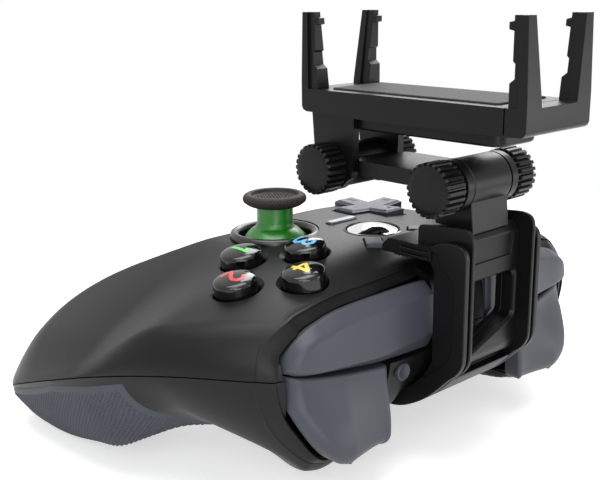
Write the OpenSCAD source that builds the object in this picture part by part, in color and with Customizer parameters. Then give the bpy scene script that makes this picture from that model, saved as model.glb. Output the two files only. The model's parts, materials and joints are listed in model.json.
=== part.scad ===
// Game pad with a folding phone clip on its front.
// X to the player's right, Y away from the player, Z up, base at Z = 0. Sizes in mm.

/* [Pad body] */
// half of the pad's width, to the outer side of a handle
pad_half_w = 80.4; // [78:0.1:82]
// height of the top face at the middle
face_z = 53; // [52:0.5:54]
// length from the widest line of the handles to the front face
front_reach = 81.5; // [80:0.5:83]
// fullness of the front corners beside the bumpers
corner_full = 7.2; // [6.4:0.2:7.6]
// wall of the two shells
wall = 2.2; // [1.6:0.1:2.4]
// height of the belly above the base
belly_z = 8; // [7:0.5:9]
// depth of the handles below the belly
handle_drop = 7.3; // [6:0.1:7.3]
// gap along the seam between the shells
seam_gap = 0.12; // [0.06:0.02:0.3]
// thickness of a grip inlay
grip_t = 0.7; // [0.4:0.1:1]

/* [Sticks] */
// right stick, distance from the middle
stick_r_x = 18.5; // [17.5:0.5:19.5]
// right stick, forward position
stick_r_y = -11.2; // [-12:0.2:-10]
// left stick, distance from the middle
stick_l_x = 37.2; // [36:0.2:38]
// left stick, forward position
stick_l_y = 9; // [8:0.5:10]
// radius of a stick cap
cap_r = 8.5; // [7.5:0.1:9]
// thickness of a stick cap
cap_t = 3.4; // [2.6:0.2:4]
// height of a cap's underside above the tilt centre
cap_h = 14.6; // [13.5:0.2:16]
// radius of the dome under a cap
dome_r = 10.4; // [9.8:0.1:10.4]
// radius of a stick's neck
neck_r = 5; // [4:0.2:5.4]
// radius of the gimbal pins
gimbal_pin_r = 1; // [0.8:0.1:1.2]

/* [Buttons] */
// face buttons, middle of the four, distance from the pad's middle
face_x = 37.2; // [36:0.2:38]
// face buttons, middle of the four, forward position
face_y = 9; // [8:0.5:10]
// distance from that middle to each button
face_pitch = 11.65; // [11.2:0.05:12]
// radius of a face button
face_btn_r = 5.4; // [4.6:0.1:5.6]
// height of a face button's dome above the shell
face_btn_h = 3.6; // [2.6:0.2:4]
// outward lean of the face button group in degrees
face_lean = 10.5; // [8:0.5:12]
// travel of a button
btn_travel = 1.4; // [0.8:0.1:1.6]
// gap round every button
btn_gap = 0.3; // [0.2:0.05:0.4]
// radius of the home button
home_r = 7; // [6:0.2:7.4]
// forward position of the home button
home_y = 7.8; // [7:0.2:8.4]
// length of the share bar
share_l = 10; // [7:0.5:11]
// width of the share bar
share_w = 2.4; // [2:0.1:3]
// forward position of the share bar
share_y = -4.2; // [-4.6:0.1:-3.8]
// length of the two slanted buttons
slant_l = 7.2; // [6:0.2:7.6]
// width of the two slanted buttons
slant_w = 4.4; // [3.8:0.1:4.8]
// slanted buttons, distance from the middle
slant_x = 9.4; // [9:0.1:9.8]
// slanted buttons, forward position
slant_y = 17; // [16.6:0.1:17.4]
// turn of the slanted buttons in degrees
slant_turn = 40; // [36:1:44]
// radius of the pairing button
pair_r = 2.2; // [1.8:0.1:2.3]
// pairing button, distance from the middle
pair_x = 20.8; // [20:0.1:21]
// reach of a cross pad arm
dpad_arm = 10.6; // [9.6:0.2:11]
// width of a cross pad arm
dpad_w = 7.2; // [6.2:0.2:7.6]
// gap round the cross pad
dpad_gap = 0.9; // [0.8:0.05:1.1]

/* [Bumpers and triggers] */
// inner end of a bumper
bumper_x0 = 10.2; // [9.8:0.2:11]
// outer end of a bumper
bumper_x1 = 54.5; // [52.5:0.5:55]
// lower edge of a bumper
bumper_z0 = 30.3; // [30:0.1:31]
// upper edge of a bumper
bumper_z1 = 44.6; // [43.6:0.2:45]
// thickness of a bumper from front to back
bumper_t = 4.6; // [4:0.2:5]
// gap round the bumpers and triggers
front_gap = 0.6; // [0.5:0.05:0.8]
// inner side of a trigger
trig_x0 = 26; // [25.4:0.2:27]
// outer side of a trigger
trig_x1 = 53.4; // [52:0.2:54]
// lowest point of a trigger
trig_z0 = 9.8; // [9.4:0.2:11]
// upper edge of a trigger
trig_z1 = 29.6; // [29:0.1:29.6]
// lean forward of a trigger's foot
trig_flare = 5.6; // [4:0.2:6]
// rise of the line between bumper and trigger towards the outside
front_lift = 3.5; // [2.5:0.1:4]
// radius of the trigger pins
trig_pin_r = 1; // [0.8:0.1:1.2]
// radius of the bumper pins
bump_pin_r = 1.5; // [1.2:0.1:1.8]

/* [Clip] */
// half of the clip frame's width
clip_half_w = 15; // [14:0.5:16]
// front face of the clip frame
clip_y = 51; // [50:0.5:52]
// height of the pivots
pivot_z = 70.9; // [70:0.2:73]
// forward position of the lower pivot
lower_y = 40.8; // [40.4:0.2:42]
// forward position of the upper pivot
upper_y = 2.2; // [1:0.2:3]
// radius of the pivot barrels
barrel_r = 6.3; // [5.8:0.1:6.4]
// half width of the pivot barrels
barrel_half = 7.3; // [6.6:0.1:7.6]
// thickness of a pivot ear
ear_t = 2.2; // [2:0.1:2.6]
// side gap between pivot pieces
side_gap = 0.3; // [0.2:0.05:0.5]
// radius of the pivot bolts
bolt_r = 2; // [1.6:0.1:2.4]
// radius of a knob over its ribs
knob_r = 6.6; // [6:0.1:6.6]
// length of a knob
knob_l = 7.3; // [6.6:0.1:7.6]
// number of ribs on a knob
knob_ribs = 24; // [16:1:30]

/* [Phone holder] */
// half of the tray's width
tray_half_w = 12.55; // [12:0.05:13.5]
// underside of the tray
tray_z = 84.5; // [84:0.5:87]
// thickness of the tray
tray_t = 6.5; // [6:0.1:7.5]
// rear end of the tray
tray_y0 = -6.3; // [-7:0.1:-6]
// length of the tray to the parting line
tray_l = 64; // [62:0.2:66]
// thickness of a jaw
jaw_t = 5.6; // [5:0.1:6]
// height of the jaw posts above the tray
post_h = 19.5; // [16:0.5:22]
// width of a post at its foot
post_w = 5.6; // [4.6:0.2:6]
// width of a post at its top
post_top_w = 2.8; // [2.2:0.1:3.4]
// radius of the jaw rods
rod_r = 1.5; // [1.2:0.1:1.7]
// distance from the middle to a jaw rod
rod_x = 7; // [6:0.2:7.6]

/* [Inner parts] */
// length of the battery
cell_l = 42; // [36:1:44]
// width of the battery
cell_w = 28; // [24:1:30]
// thickness of the battery
cell_t = 8; // [6:0.5:9]
// thickness of the circuit board
board_t = 1.6; // [1:0.1:2]
// width of the charging socket
usb_w = 9; // [8.6:0.1:9.4]
// height of the charging socket
usb_h = 3.2; // [3:0.1:3.4]
// depth of the charging socket
usb_l = 7.2; // [6.6:0.1:7.4]
// radius of the screws
screw_r = 1; // [0.8:0.1:1.2]

/* [Fits] */
// radial clearance of turning and sliding pins
run = 0.05; // [0.03:0.01:0.08]

/* [Hidden] */
// outline of the pad, seen from above
pad_front = 38.5;
tip_y = pad_front - front_reach;
tail_y = tip_y - 20.7;
arch_y = -27;
arch_x = 22;
lobe_r = 16.8;
corner_x = 57;
corner_run = 14;
outline_w = pad_half_w + 0.5;
lobe_x = outline_w - lobe_r;
// seam, in side view
seam_top = 33;
seam_front = 27;
seam_run = 79;
// lowest places under the handles and under the triggers
handle_x = 68;
handle_y = tip_y + 2;
foot_x = 40;
foot_y = 25.5;
foot_r = 8;
// channel under the middle of the pad, for the hook of the clip
channel_d = 9;
channel_y = 6;
// board and what stands on it
board_z1 = 37.6;
board_z0 = board_z1 - board_t;
board_front = pad_front - 6.1;
board_wing_y = pad_front - 14.1;
switch_gap = 0.6;
// sticks, about their tilt centres
cen_r_z = face_z - 8;
stick_l_z = face_z - 9.6;
stalk_r = 2;
ring_w = 2.5;
ring_seat = 6.2;
ring_hole_r = dome_r - 0.5;
ring_neck_in = dome_r + 0.5;
ring_neck_out = ring_neck_in + 0.5;
ring_out_r = ring_hole_r + ring_w;
// buttons
face_zc = top_h(face_x, face_y) - 0.1;
face_foot = 5.6;
key_foot = 4.6;
flange_t = 1;
flange_w = 0.8;
pair_z = bumper_z0 - 3.8;
pair_flange_y = 4.2;
// hinges of the triggers and bumpers
trig_py = 25.5;
trig_pz = 26;
trig_hub_r = 2.4;
trig_arm_x = 32.4;
trig_arm_w = 5;
cheek_t = 2.2;
cheek_x = trig_arm_x - 2.6;
cheek_span = 13.4;
bump_py = 30;
bump_px = bumper_x0 + 3.8;
bump_hub_r = 2.9;
bump_arm_z = board_z1 + 1;
bump_arm_t = 3;
// clip and arm
ear_x0 = barrel_half + side_gap;
ear_x1 = ear_x0 + ear_t;
knob_x0 = ear_x1 + side_gap;
knob_x1 = knob_x0 + knob_l;
clip_back_y = clip_y - 9.8;
panel_y0 = clip_back_y + 2;
panel_y1 = clip_y - 4;
rail_w = 3.5;
panel_half = clip_half_w - rail_w;
slab_y0 = 25;
slab_z0 = face_z + 0.4;
slab_z1 = slab_z0 + 3.6;
wall_half = clip_half_w - 2.5;
wall_y0 = slab_y0 + 9.4;
wall_z1 = slab_z1 + 5.4;
rim_z1 = slab_z1 + 2;
shoulder_z = slab_z1 + 3.4;
hook_z = 13;
window_half = panel_half - 1.2;
window_top = 47.6;
window_mid = 36;
window_low = 28.4;
panel_z0 = 25;
front_low_z = 31;
clip_screw_x = 8.6;
clip_screw_z = slab_z0 - 2;
head_r = screw_r + 0.9;
arm_t = 4;
arm_low = 1.4;
under_half = 8;
under_t = 3.4;
// phone holder
tray_z1 = tray_z + tray_t;
tray_y1 = tray_y0 + tray_l;
jaw_y0 = tray_y1 + side_gap;
post_z1 = tray_z1 + post_h;
rod_z = tray_z + tray_t * 0.48;
rod_l = tray_l - 20;
bore_l = rod_l + 2;
coil_l = tray_l - 26;
coil_r = 1.8;
pad_half = tray_half_w - 3.05;
pad_y0 = tray_y0 + jaw_t + 2.6;
pad_l = tray_y1 - pad_y0 - 3.6;
pad_sink = 0.8;
pad_t = 1.3;
pad_room = 0.1;
// screws and posts of the casing
joint_z = 22;
case_spots = [[49, -28], [-49, -28], [30, -22], [-30, -22]];
post_spots = [[24, 20], [-24, 20], [8, -17], [-8, -17]];
case_post_r = 3.6;
case_boss_r = 3;
board_post_r = 2.4;
case_sink = 6;

function ease(d, r) = d >= r ? 1 : d <= 0 ? 0 : sqrt(1 - pow(1 - d / r, 2));
function step01(t) = t <= 0 ? 0 : t >= 1 ? 1 : t * t * (3 - 2 * t);
function blend(a, a0, a1, r0, r1) = r0 + (r1 - r0) * step01((a - a0) / (a1 - a0));
function front_y(x) = tip_y + front_reach * pow(max(0, 1 - pow(abs(x) / outline_w, 3)), 1 / 2.4)
    + corner_full * exp(-pow((abs(x) - corner_x) / corner_run, 2));
function rear_y(x) = abs(x) > lobe_x
    ? tip_y + (tail_y - tip_y) * sqrt(max(0, 1 - pow((abs(x) - lobe_x) / lobe_r, 2)))
    : arch_y + (tail_y - arch_y) * step01((abs(x) - arch_x) / (lobe_x - arch_x));
function seam_drop(q) = 27 * q * q / (1 + 0.35 * q * q);
function seam_z(y) = seam_top - seam_drop(max(0, seam_front - y) / seam_run);
function along(x, y) = max(0, (abs(x) - 40) * 0.575 + (-15 - y) * 0.818);
// crease along the front of the top face, above the bumpers
function crease_y(x) = front_y(x) - 8.2 * max(0, 1 - pow(abs(x) / 56.5, 3.6));
function shoulder(x, y) = 0.2 * (sqrt(pow(max(0, abs(x) - 30), 2) + 25) - 5) * step01((6 - y) / 26);
function front_fall(a) = blend(a, 30, 50, 0.012, 0.008);
function top_h(x, y) = face_z - 0.0025 * x * x - shoulder(x, y) - 0.0034 * pow(along(x, y), 2)
    - front_fall(abs(x)) * pow(max(0, y - 14), 2) - 0.5 * max(0, y - crease_y(x));
function bulge(x, y, cx, cy, rx, ry) = exp(-pow((abs(x) - cx) / rx, 2) - pow((y - cy) / ry, 2));
function bot_h(x, y) = belly_z
    - handle_drop * (belly_z / 8) * bulge(x, y, handle_x, handle_y, 13, 24)
    - 0.5 * belly_z * bulge(x, y, foot_x, foot_y, foot_r, foot_r)
    + channel_d * step01((clip_half_w + 4 - abs(x)) / 3) * step01((y - channel_y) / 14)
    + 0.68 * max(0, abs(x) - 46) * step01((y + 14) / 24);
function top_front_r(a) = blend(a, 44, 64, 3.5, 14);
function top_rear_r(a) = blend(a, 24, 46, 7, 14);
function bot_front_r(a) = a < 31 ? blend(a, 16, 31, 11, 7) : blend(a, 46, 62, 7, 14);
function bot_rear_r(a) = blend(a, 20, 46, 10, 14);
function side_e(x, in) = ease(pad_half_w - in - abs(x), 12 - in);
// height of the top skin and of the under skin, each set inward by a given amount
function top_z(x, y, in) = let (s = seam_z(y), a = abs(x))
    s + max(0, top_h(x, y) - in - s) * ease(y - rear_y(x) - in, top_rear_r(a) - in)
    * ease(front_y(x) - in - y, top_front_r(a) - in) * side_e(x, in);
function bot_z(x, y, in) = let (s = seam_z(y), a = abs(x))
    s - max(0, s - bot_h(x, y) - in) * ease(y - rear_y(x) - in, bot_rear_r(a) - in)
    * ease(front_y(x) - in - y, bot_front_r(a) - in) * side_e(x, in);

// stations across half the width, closer together towards the rounded side
half_x = [0, 0.1, 0.2, 0.23, 0.3, 0.39, 0.47, 0.54, 0.6, 0.655, 0.71, 0.765, 0.815, 0.86,
    0.9, 0.933, 0.96, 0.98, 0.993, 1];
nh = len(half_x) - 1;
ni = 2 * nh;
nj = 18;
function station(i) = (i < nh ? -1 : 1) * half_x[abs(i - nh)];
function cross_t(j) = (1 - cos(180 * j / nj)) / 2;
function skin_x(i, in) = station(i) * (pad_half_w - in);
function skin_y(x, j, in) = let (r = rear_y(x) + in, f = front_y(x) - in) r + (f - r) * cross_t(j);
function top_pt(i, j, in) = let (x = skin_x(i, in), y = skin_y(x, j, in))
    [x, y, top_z(x, y, in) + seam_gap / 2];
function bot_pt(i, j, in) = let (x = skin_x(i, in), y = skin_y(x, j, in))
    [x, y, bot_z(x, y, in) - seam_gap / 2];
function at(k, i, j) = k * (ni + 1) * (nj + 1) + i * (nj + 1) + j;
function two(a, b, c, d) = [[a, b, c], [a, c, d]];
function flip(f) = [f[2], f[1], f[0]];
function shell_faces() = concat(
    [for (i = [0:ni - 1], j = [0:nj - 1])
        each two(at(0, i, j), at(0, i, j + 1), at(0, i + 1, j + 1), at(0, i + 1, j))],
    [for (i = [0:ni - 1], j = [0:nj - 1])
        each two(at(1, i, j), at(1, i + 1, j), at(1, i + 1, j + 1), at(1, i, j + 1))],
    [for (i = [0:ni - 1]) each two(at(0, i, 0), at(0, i + 1, 0), at(1, i + 1, 0), at(1, i, 0))],
    [for (i = [0:ni - 1]) each two(at(0, i + 1, nj), at(0, i, nj), at(1, i, nj), at(1, i + 1, nj))],
    [for (j = [0:nj - 1]) each two(at(0, 0, j + 1), at(0, 0, j), at(1, 0, j), at(1, 0, j + 1))],
    [for (j = [0:nj - 1]) each two(at(0, ni, j), at(0, ni, j + 1), at(1, ni, j + 1), at(1, ni, j))]);

module top_skin() {
    outer = [for (i = [0:ni], j = [0:nj]) top_pt(i, j, 0)];
    inner = [for (i = [0:ni], j = [0:nj]) top_pt(i, j, wall)];
    polyhedron(points = concat(outer, inner), faces = shell_faces(), convexity = 6);
}

module bottom_skin() {
    outer = [for (i = [0:ni], j = [0:nj]) bot_pt(i, j, 0)];
    inner = [for (i = [0:ni], j = [0:nj]) bot_pt(i, j, wall)];
    polyhedron(points = concat(outer, inner), faces = [for (f = shell_faces()) flip(f)], convexity = 6);
}

// edges of a bumper and of a trigger, at a distance from the middle
function lift(x) = front_lift * pow(max(0, (x - trig_x0) / (bumper_x1 - trig_x0)), 1.6);
function bumper_top(x) = bumper_z1 - 7.6 * pow(max(0, (x - 24) / (bumper_x1 - 24)), 6);
function bumper_low(x) = bumper_z0 + lift(x);
function trig_top(x) = trig_z1 + lift(x);
function trig_low(x) = trig_z0 + 13.5 * pow(max(0, (x - 40) / (trig_x1 - 40)), 2);
// stations from an inner to an outer end, closer together towards the outside
function stations(x0, x1, n) = [for (k = [0:n]) x0 + (x1 - x0) * (1 - pow(1 - k / n, 1.3))];

// opening in the front of the shells for a bumper and a trigger, seen from the front
front_cut_y = pad_front - 14.5;
pull_room = 2.2;
module front_opening(sx) {
    g = front_gap;
    n = 12;
    bx = stations(bumper_x0, bumper_x1, n);
    tx = stations(trig_x0, trig_x1, n);
    upper = concat(
        [[bumper_x0 - g, bumper_z0 - g], [bumper_x0 - g, bumper_z1 + g]],
        [for (k = [1:n]) [bx[k] + (k == n ? g : 0), bumper_top(bx[k]) + g]],
        [[bumper_x1 + g, bumper_low(bumper_x1) - g], [trig_x1 + g, bumper_low(trig_x1) - g],
            [trig_x0 - g, bumper_z0 - g]]);
    lower = concat(
        [[trig_x0 - g, bumper_z0], [trig_x1 + g, bumper_low(trig_x1)]],
        [for (k = [n:-1:1]) [tx[k] + (k == n ? g : 0), trig_low(tx[k]) - pull_room]],
        [[trig_x0 - g, trig_z0 - pull_room]]);
    scale([sx, 1, 1]) translate([0, front_cut_y + 36, 0]) rotate([90, 0, 0]) linear_extrude(36) union() {
        polygon(upper);
        polygon(lower);
    }
}

module at_face_group() {
    translate([face_x, face_y, face_zc]) rotate([0, face_lean, 0]) children();
}

function face_spot(n) = face_pitch * [[0, -1], [1, 0], [-1, 0], [0, 1]][n - 1];

module cross2d(arm, w) {
    square([2 * arm, w], center = true);
    square([w, 2 * arm], center = true);
}

module stick_hole(x, y, zc) {
    translate([x, y, zc]) cylinder(r = ring_neck_out + 0.1, h = 20, $fn = 64);
    translate([x, y, zc + ring_seat]) cylinder(r = ring_out_r + 0.1, h = 10, $fn = 64);
}

// openings of the top face: face buttons, cross pad, home, share and the two slanted buttons
well_z = face_z - 9;
well_h = 20;
module top_openings() {
    at_face_group() for (n = [1:4]) translate(concat(face_spot(n), [0])) {
        translate([0, 0, -12]) cylinder(r = face_btn_r + btn_gap, h = well_h, $fn = 48);
        translate([0, 0, -0.6]) cylinder(r = face_btn_r + 1.2, h = 8, $fn = 48);
    }
    translate([dpad_x, stick_r_y, well_z]) linear_extrude(well_h)
        cross2d(dpad_arm + dpad_gap, dpad_w + 2 * dpad_gap);
    translate([0, home_y, well_z]) cylinder(r = home_r + btn_gap, h = well_h, $fn = 64);
    translate([0, share_y, well_z + well_h / 2])
        cube([share_l + 2 * btn_gap, share_w + 2 * btn_gap, well_h], center = true);
    for (s = [-1, 1]) translate([slant_x * s, slant_y, well_z + well_h / 2])
        rotate([0, 0, -slant_turn * s])
            cube([slant_w + 2 * btn_gap, slant_l + 2 * btn_gap, well_h], center = true);
}

module top_shell() {
    color([0.1, 0.1, 0.11]) difference() {
        union() {
            top_skin();
            for (p = case_spots) translate([p[0], p[1], joint_z])
                cylinder(r = case_boss_r, h = top_z(p[0], p[1], 0.9 * wall) - joint_z, $fn = 32);
        }
        front_opening(1);
        front_opening(-1);
        stick_hole(stick_r_x, stick_r_y, cen_r_z);
        stick_hole(-stick_l_x, stick_l_y, stick_l_z);
        top_openings();
        translate([0, pad_front + 1.5, board_z1 + usb_h / 2])
            cube([usb_w + 0.6, 14, usb_h + 0.6], center = true);
        for (p = case_spots) translate([p[0], p[1], joint_z - 1])
            cylinder(r = screw_r + 0.1, h = 9, $fn = 24);
    }
}

module bottom_shell() {
    color([0.09, 0.09, 0.1]) difference() {
        union() {
            bottom_skin();
            for (p = case_spots) {
                z = bot_z(p[0], p[1], wall / 2);
                translate([p[0], p[1], z]) cylinder(r = case_post_r, h = joint_z - z, $fn = 32);
            }
            for (p = post_spots) {
                z = bot_z(p[0], p[1], wall / 2);
                translate([p[0], p[1], z]) cylinder(r = board_post_r, h = board_z0 - z, $fn = 32);
            }
        }
        front_opening(1);
        front_opening(-1);
        translate([pair_x, pad_front - 8.5, pair_z]) rotate([-90, 0, 0])
            cylinder(r = pair_r + btn_gap, h = 12, $fn = 40);
        for (p = case_spots) {
            z = bot_z(p[0], p[1], 0);
            translate([p[0], p[1], z - 4]) cylinder(r = head_r + 0.5, h = case_sink + 4, $fn = 32);
            translate([p[0], p[1], z]) cylinder(r = screw_r + 0.3, h = 40, $fn = 24);
        }
    }
}

// row and column limits of a grip inlay on the under skin
g_i0 = nh + 8;
g_i1 = nh + 16;
g_j0 = 2;
g_j1 = 11;
function grip_cross(i, j) = cross(bot_pt(i, j + 1, 0) - bot_pt(i, j - 1, 0),
    bot_pt(i + 1, j, 0) - bot_pt(i - 1, j, 0));
function grip_n(i, j) = grip_cross(i, j) / norm(grip_cross(i, j));
function grip_out(i, j) = bot_pt(i, j, 0) + grip_n(i, j) * grip_t;
g_mi = g_i1 - g_i0;
g_mj = g_j1 - g_j0;
// place of a point in the inlay's list: k is 0 inside and 1 outside
function g_at(k, i, j) = (k * (g_mi + 1) + i) * (g_mj + 1) + j;

module grip_panel(sx) {
    inner = [for (i = [g_i0:g_i1], j = [g_j0:g_j1]) bot_pt(i, j, 0)];
    outer = [for (i = [g_i0:g_i1], j = [g_j0:g_j1]) grip_out(i, j)];
    faces = concat(
        [for (i = [0:g_mi - 1], j = [0:g_mj - 1])
            each two(g_at(0, i, j), g_at(0, i, j + 1), g_at(0, i + 1, j + 1), g_at(0, i + 1, j))],
        [for (i = [0:g_mi - 1], j = [0:g_mj - 1])
            each two(g_at(1, i, j), g_at(1, i + 1, j), g_at(1, i + 1, j + 1), g_at(1, i, j + 1))],
        [for (i = [0:g_mi - 1])
            each two(g_at(0, i, 0), g_at(0, i + 1, 0), g_at(1, i + 1, 0), g_at(1, i, 0))],
        [for (i = [0:g_mi - 1])
            each two(g_at(0, i + 1, g_mj), g_at(0, i, g_mj), g_at(1, i, g_mj), g_at(1, i + 1, g_mj))],
        [for (j = [0:g_mj - 1])
            each two(g_at(0, 0, j + 1), g_at(0, 0, j), g_at(1, 0, j), g_at(1, 0, j + 1))],
        [for (j = [0:g_mj - 1])
            each two(g_at(0, g_mi, j), g_at(0, g_mi, j + 1), g_at(1, g_mi, j + 1), g_at(1, g_mi, j))]);
    mirror([sx < 0 ? 1 : 0, 0, 0])
        polyhedron(points = concat(inner, outer), faces = faces, convexity = 4);
}

module right_grip_panel() { color([0.26, 0.27, 0.3]) grip_panel(1); }
module left_grip_panel() { color([0.26, 0.27, 0.3]) grip_panel(-1); }

// solid lofted along X through profiles given as lists of [y, z]
module loft(xs, profs) {
    m = len(profs[0]);
    k = len(xs);
    pts = [for (a = [0:k - 1], b = [0:m - 1]) [xs[a], profs[a][b][0], profs[a][b][1]]];
    sides = [for (a = [0:k - 2], b = [0:m - 1]) let (c = (b + 1) % m)
        each two(a * m + c, (a + 1) * m + c, (a + 1) * m + b, a * m + b)];
    caps = concat([[for (b = [m - 1:-1:0]) b]], [[for (b = [0:m - 1]) (k - 1) * m + b]]);
    polyhedron(points = pts, faces = concat(sides, caps), convexity = 4);
}

// ridge near the top, and an underside bevel that grows towards the middle
function bumper_bevel(x) = 0.9 + 3.6 * pow((bumper_x1 - x) / (bumper_x1 - bumper_x0), 1.7);
function bumper_prof(x) = let (f = front_y(x), t = bumper_top(x), b = bumper_low(x)) [
    [f - bumper_t, b], [f - bumper_t, t - 0.4], [f - 2.9, t], [f - 0.6, t - 0.5], [f + 0.3, t - 1.3],
    [f + 0.6, b + bumper_bevel(x)], [f - 1.5, b]];

module bumper(sx) {
    xs = stations(bumper_x0, bumper_x1, 12);
    arm_l = front_y(bump_px) - bump_py - 3;
    mirror([sx < 0 ? 1 : 0, 0, 0]) difference() {
        union() {
            loft(xs, [for (x = xs) bumper_prof(x)]);
            translate([bump_px - 2.6, bump_py, bump_arm_z]) cube([5.2, arm_l, bump_arm_t]);
            translate([bump_px, bump_py, bump_arm_z]) cylinder(r = bump_hub_r, h = bump_arm_t, $fn = 40);
        }
        translate([bump_px, bump_py, bump_arm_z - 8]) cylinder(r = bump_pin_r + run, h = 20, $fn = 40);
    }
}

module right_bumper() { color([0.27, 0.28, 0.31]) bumper(1); }
module left_bumper() { color([0.27, 0.28, 0.31]) bumper(-1); }

// curved face that leans forward at the foot, more so towards the outside
function flare(x, z) = trig_flare * (0.3 + 0.7 * step01((x - trig_x0) / 20)) * step01((trig_z1 - z) / 15.5);
function trig_front(x, z, back) = [front_y(x) + flare(x, z) - back, z];
function trig_prof(x) = let (f = front_y(x), b = trig_low(x), t = trig_top(x), h = t - b) [
    [f - 4.4 + flare(x, b) / 2, b + 1.5], [f - 4.4, t - 0.6], [f - 2.4, t], [f - 0.8, t - 0.06 * h],
    trig_front(x, t - 0.25 * h, 0), trig_front(x, t - 0.45 * h, 0), trig_front(x, t - 0.65 * h, 0),
    trig_front(x, b + 0.15 * h, 0), trig_front(x, b + 0.05 * h, 0.5), trig_front(x, b, 1.8)];

module trig_bore(r) {
    translate([trig_arm_x - 12.4, trig_py, trig_pz]) rotate([0, 90, 0]) cylinder(r = r, h = 40, $fn = 40);
}

module trigger(sx) {
    xs = stations(trig_x0, trig_x1, 12);
    arm_l = front_y(trig_arm_x + trig_arm_w / 2) - trig_py - 3.5;
    mirror([sx < 0 ? 1 : 0, 0, 0]) difference() {
        union() {
            loft(xs, [for (x = xs) trig_prof(x)]);
            translate([trig_arm_x, trig_py, trig_pz - trig_hub_r])
                cube([trig_arm_w, arm_l, 2 * trig_hub_r]);
            translate([trig_arm_x, trig_py, trig_pz]) rotate([0, 90, 0])
                cylinder(r = trig_hub_r, h = trig_arm_w, $fn = 40);
        }
        trig_bore(trig_pin_r + run);
    }
}

module right_trigger() { color([0.26, 0.27, 0.3]) trigger(1); }
module left_trigger() { color([0.26, 0.27, 0.3]) trigger(-1); }

// bracket under the board with two cheeks that hold a trigger's pin
module trigger_bracket(sx) {
    back = trig_py - 8;
    foot = trig_pz - trig_hub_r;
    mirror([sx < 0 ? 1 : 0, 0, 0]) difference() {
        union() {
            translate([cheek_x, back, foot]) cube([cheek_span, 2.4, board_z0 - foot]);
            for (x = [cheek_x, cheek_x + cheek_span - cheek_t]) {
                translate([x, back, foot]) cube([cheek_t, 8, 2 * trig_hub_r]);
                translate([x, trig_py, trig_pz]) rotate([0, 90, 0])
                    cylinder(r = trig_hub_r, h = cheek_t, $fn = 40);
            }
        }
        trig_bore(trig_pin_r);
    }
}

module right_trigger_bracket() { color([0.35, 0.35, 0.37]) trigger_bracket(1); }
module left_trigger_bracket() { color([0.35, 0.35, 0.37]) trigger_bracket(-1); }

module trigger_pins() {
    color([0.75, 0.75, 0.77]) for (s = [0, 1]) mirror([s, 0, 0])
        translate([cheek_x - 0.4, trig_py, trig_pz]) rotate([0, 90, 0])
            cylinder(r = trig_pin_r, h = cheek_span + 0.8, $fn = 40);
}

module trigger_springs() {
    color([0.7, 0.7, 0.72]) for (s = [0, 1]) mirror([s, 0, 0])
        translate([trig_arm_x + trig_arm_w + 0.4, trig_py, trig_pz]) rotate([0, 90, 0]) difference() {
            cylinder(r = trig_pin_r + 1, h = 2.8, $fn = 40);
            translate([0, 0, -1]) cylinder(r = trig_pin_r + 0.15, h = 6, $fn = 40);
        }
}

module bumper_pins() {
    color([0.75, 0.75, 0.77]) for (s = [-1, 1]) translate([s * bump_px, bump_py, board_z1]) {
        cylinder(r = bump_pin_r, h = 5, $fn = 40);
        cylinder(r = bump_pin_r + 0.9, h = 0.6, $fn = 40);
    }
}

// stick: trim ring, cap, domed stem, gimbal and housing, about a tilt centre
module stick_ring(x, y, zc) {
    translate([x, y, zc]) rotate_extrude($fn = 96) polygon([
        [ring_neck_in, 4], [ring_neck_out, 4], [ring_neck_out, ring_seat], [ring_out_r, ring_seat],
        [ring_out_r, 7.2], [ring_out_r - 0.8, 8], [ring_hole_r + 0.4, 8], [ring_hole_r, 7.6],
        [ring_hole_r, 6.6], [ring_neck_in, 6]]);
}

module stick_cap(x, y, zc) {
    z0 = cap_h;
    z1 = cap_h + cap_t;
    translate([x, y, zc]) rotate_extrude($fn = 96) polygon([
        [0, z0], [cap_r - 2.1, z0 + 0.1], [cap_r - 0.8, z0 + 0.7], [cap_r, z0 + 1.8], [cap_r - 0.2, z1 - 0.6],
        [cap_r - 0.7, z1 - 0.1], [cap_r - 1.4, z1], [cap_r - 1.9, z1 - 0.2], [cap_r - 2.4, z1 - 0.9],
        [cap_r - 4.5, z1 - 1.3], [0, z1 - 1.5]]);
}

module stick_stem(x, y, zc) {
    translate([x, y, zc]) {
        rotate_extrude($fn = 72) difference() {
            circle(r = dome_r, $fn = 96);
            circle(r = dome_r - 1.2, $fn = 96);
            translate([-20, 1.8 - 40]) square([40, 40]);
            translate([-20, -20]) square([20, 40]);
        }
        translate([0, 0, dome_r - 1.4]) cylinder(r = neck_r, h = cap_h - dome_r + 1.4, $fn = 64);
        translate([0, 0, -1.6]) cylinder(r = stalk_r, h = dome_r + 1, $fn = 40);
    }
}

module stick_yoke(x, y, zc) {
    translate([x, y, zc]) difference() {
        union() {
            cube([10.4, 11.4, 2.4], center = true);
            rotate([90, 0, 0]) cylinder(r = gimbal_pin_r, h = 14.8, center = true, $fn = 32);
        }
        cube([7.2, 8.4, 8], center = true);
        rotate([0, 90, 0]) cylinder(r = gimbal_pin_r + run, h = 20, center = true, $fn = 32);
    }
}

module stick_rocker(x, y, zc) {
    translate([x, y, zc]) difference() {
        union() {
            translate([-3.2, -3.2, -1.8]) cube([6.4, 6.4, 4.4]);
            rotate([0, 90, 0]) cylinder(r = gimbal_pin_r, h = 10.4, center = true, $fn = 32);
        }
        translate([0, 0, -5]) cylinder(r = stalk_r + run, h = 20, $fn = 40);
    }
}

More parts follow.
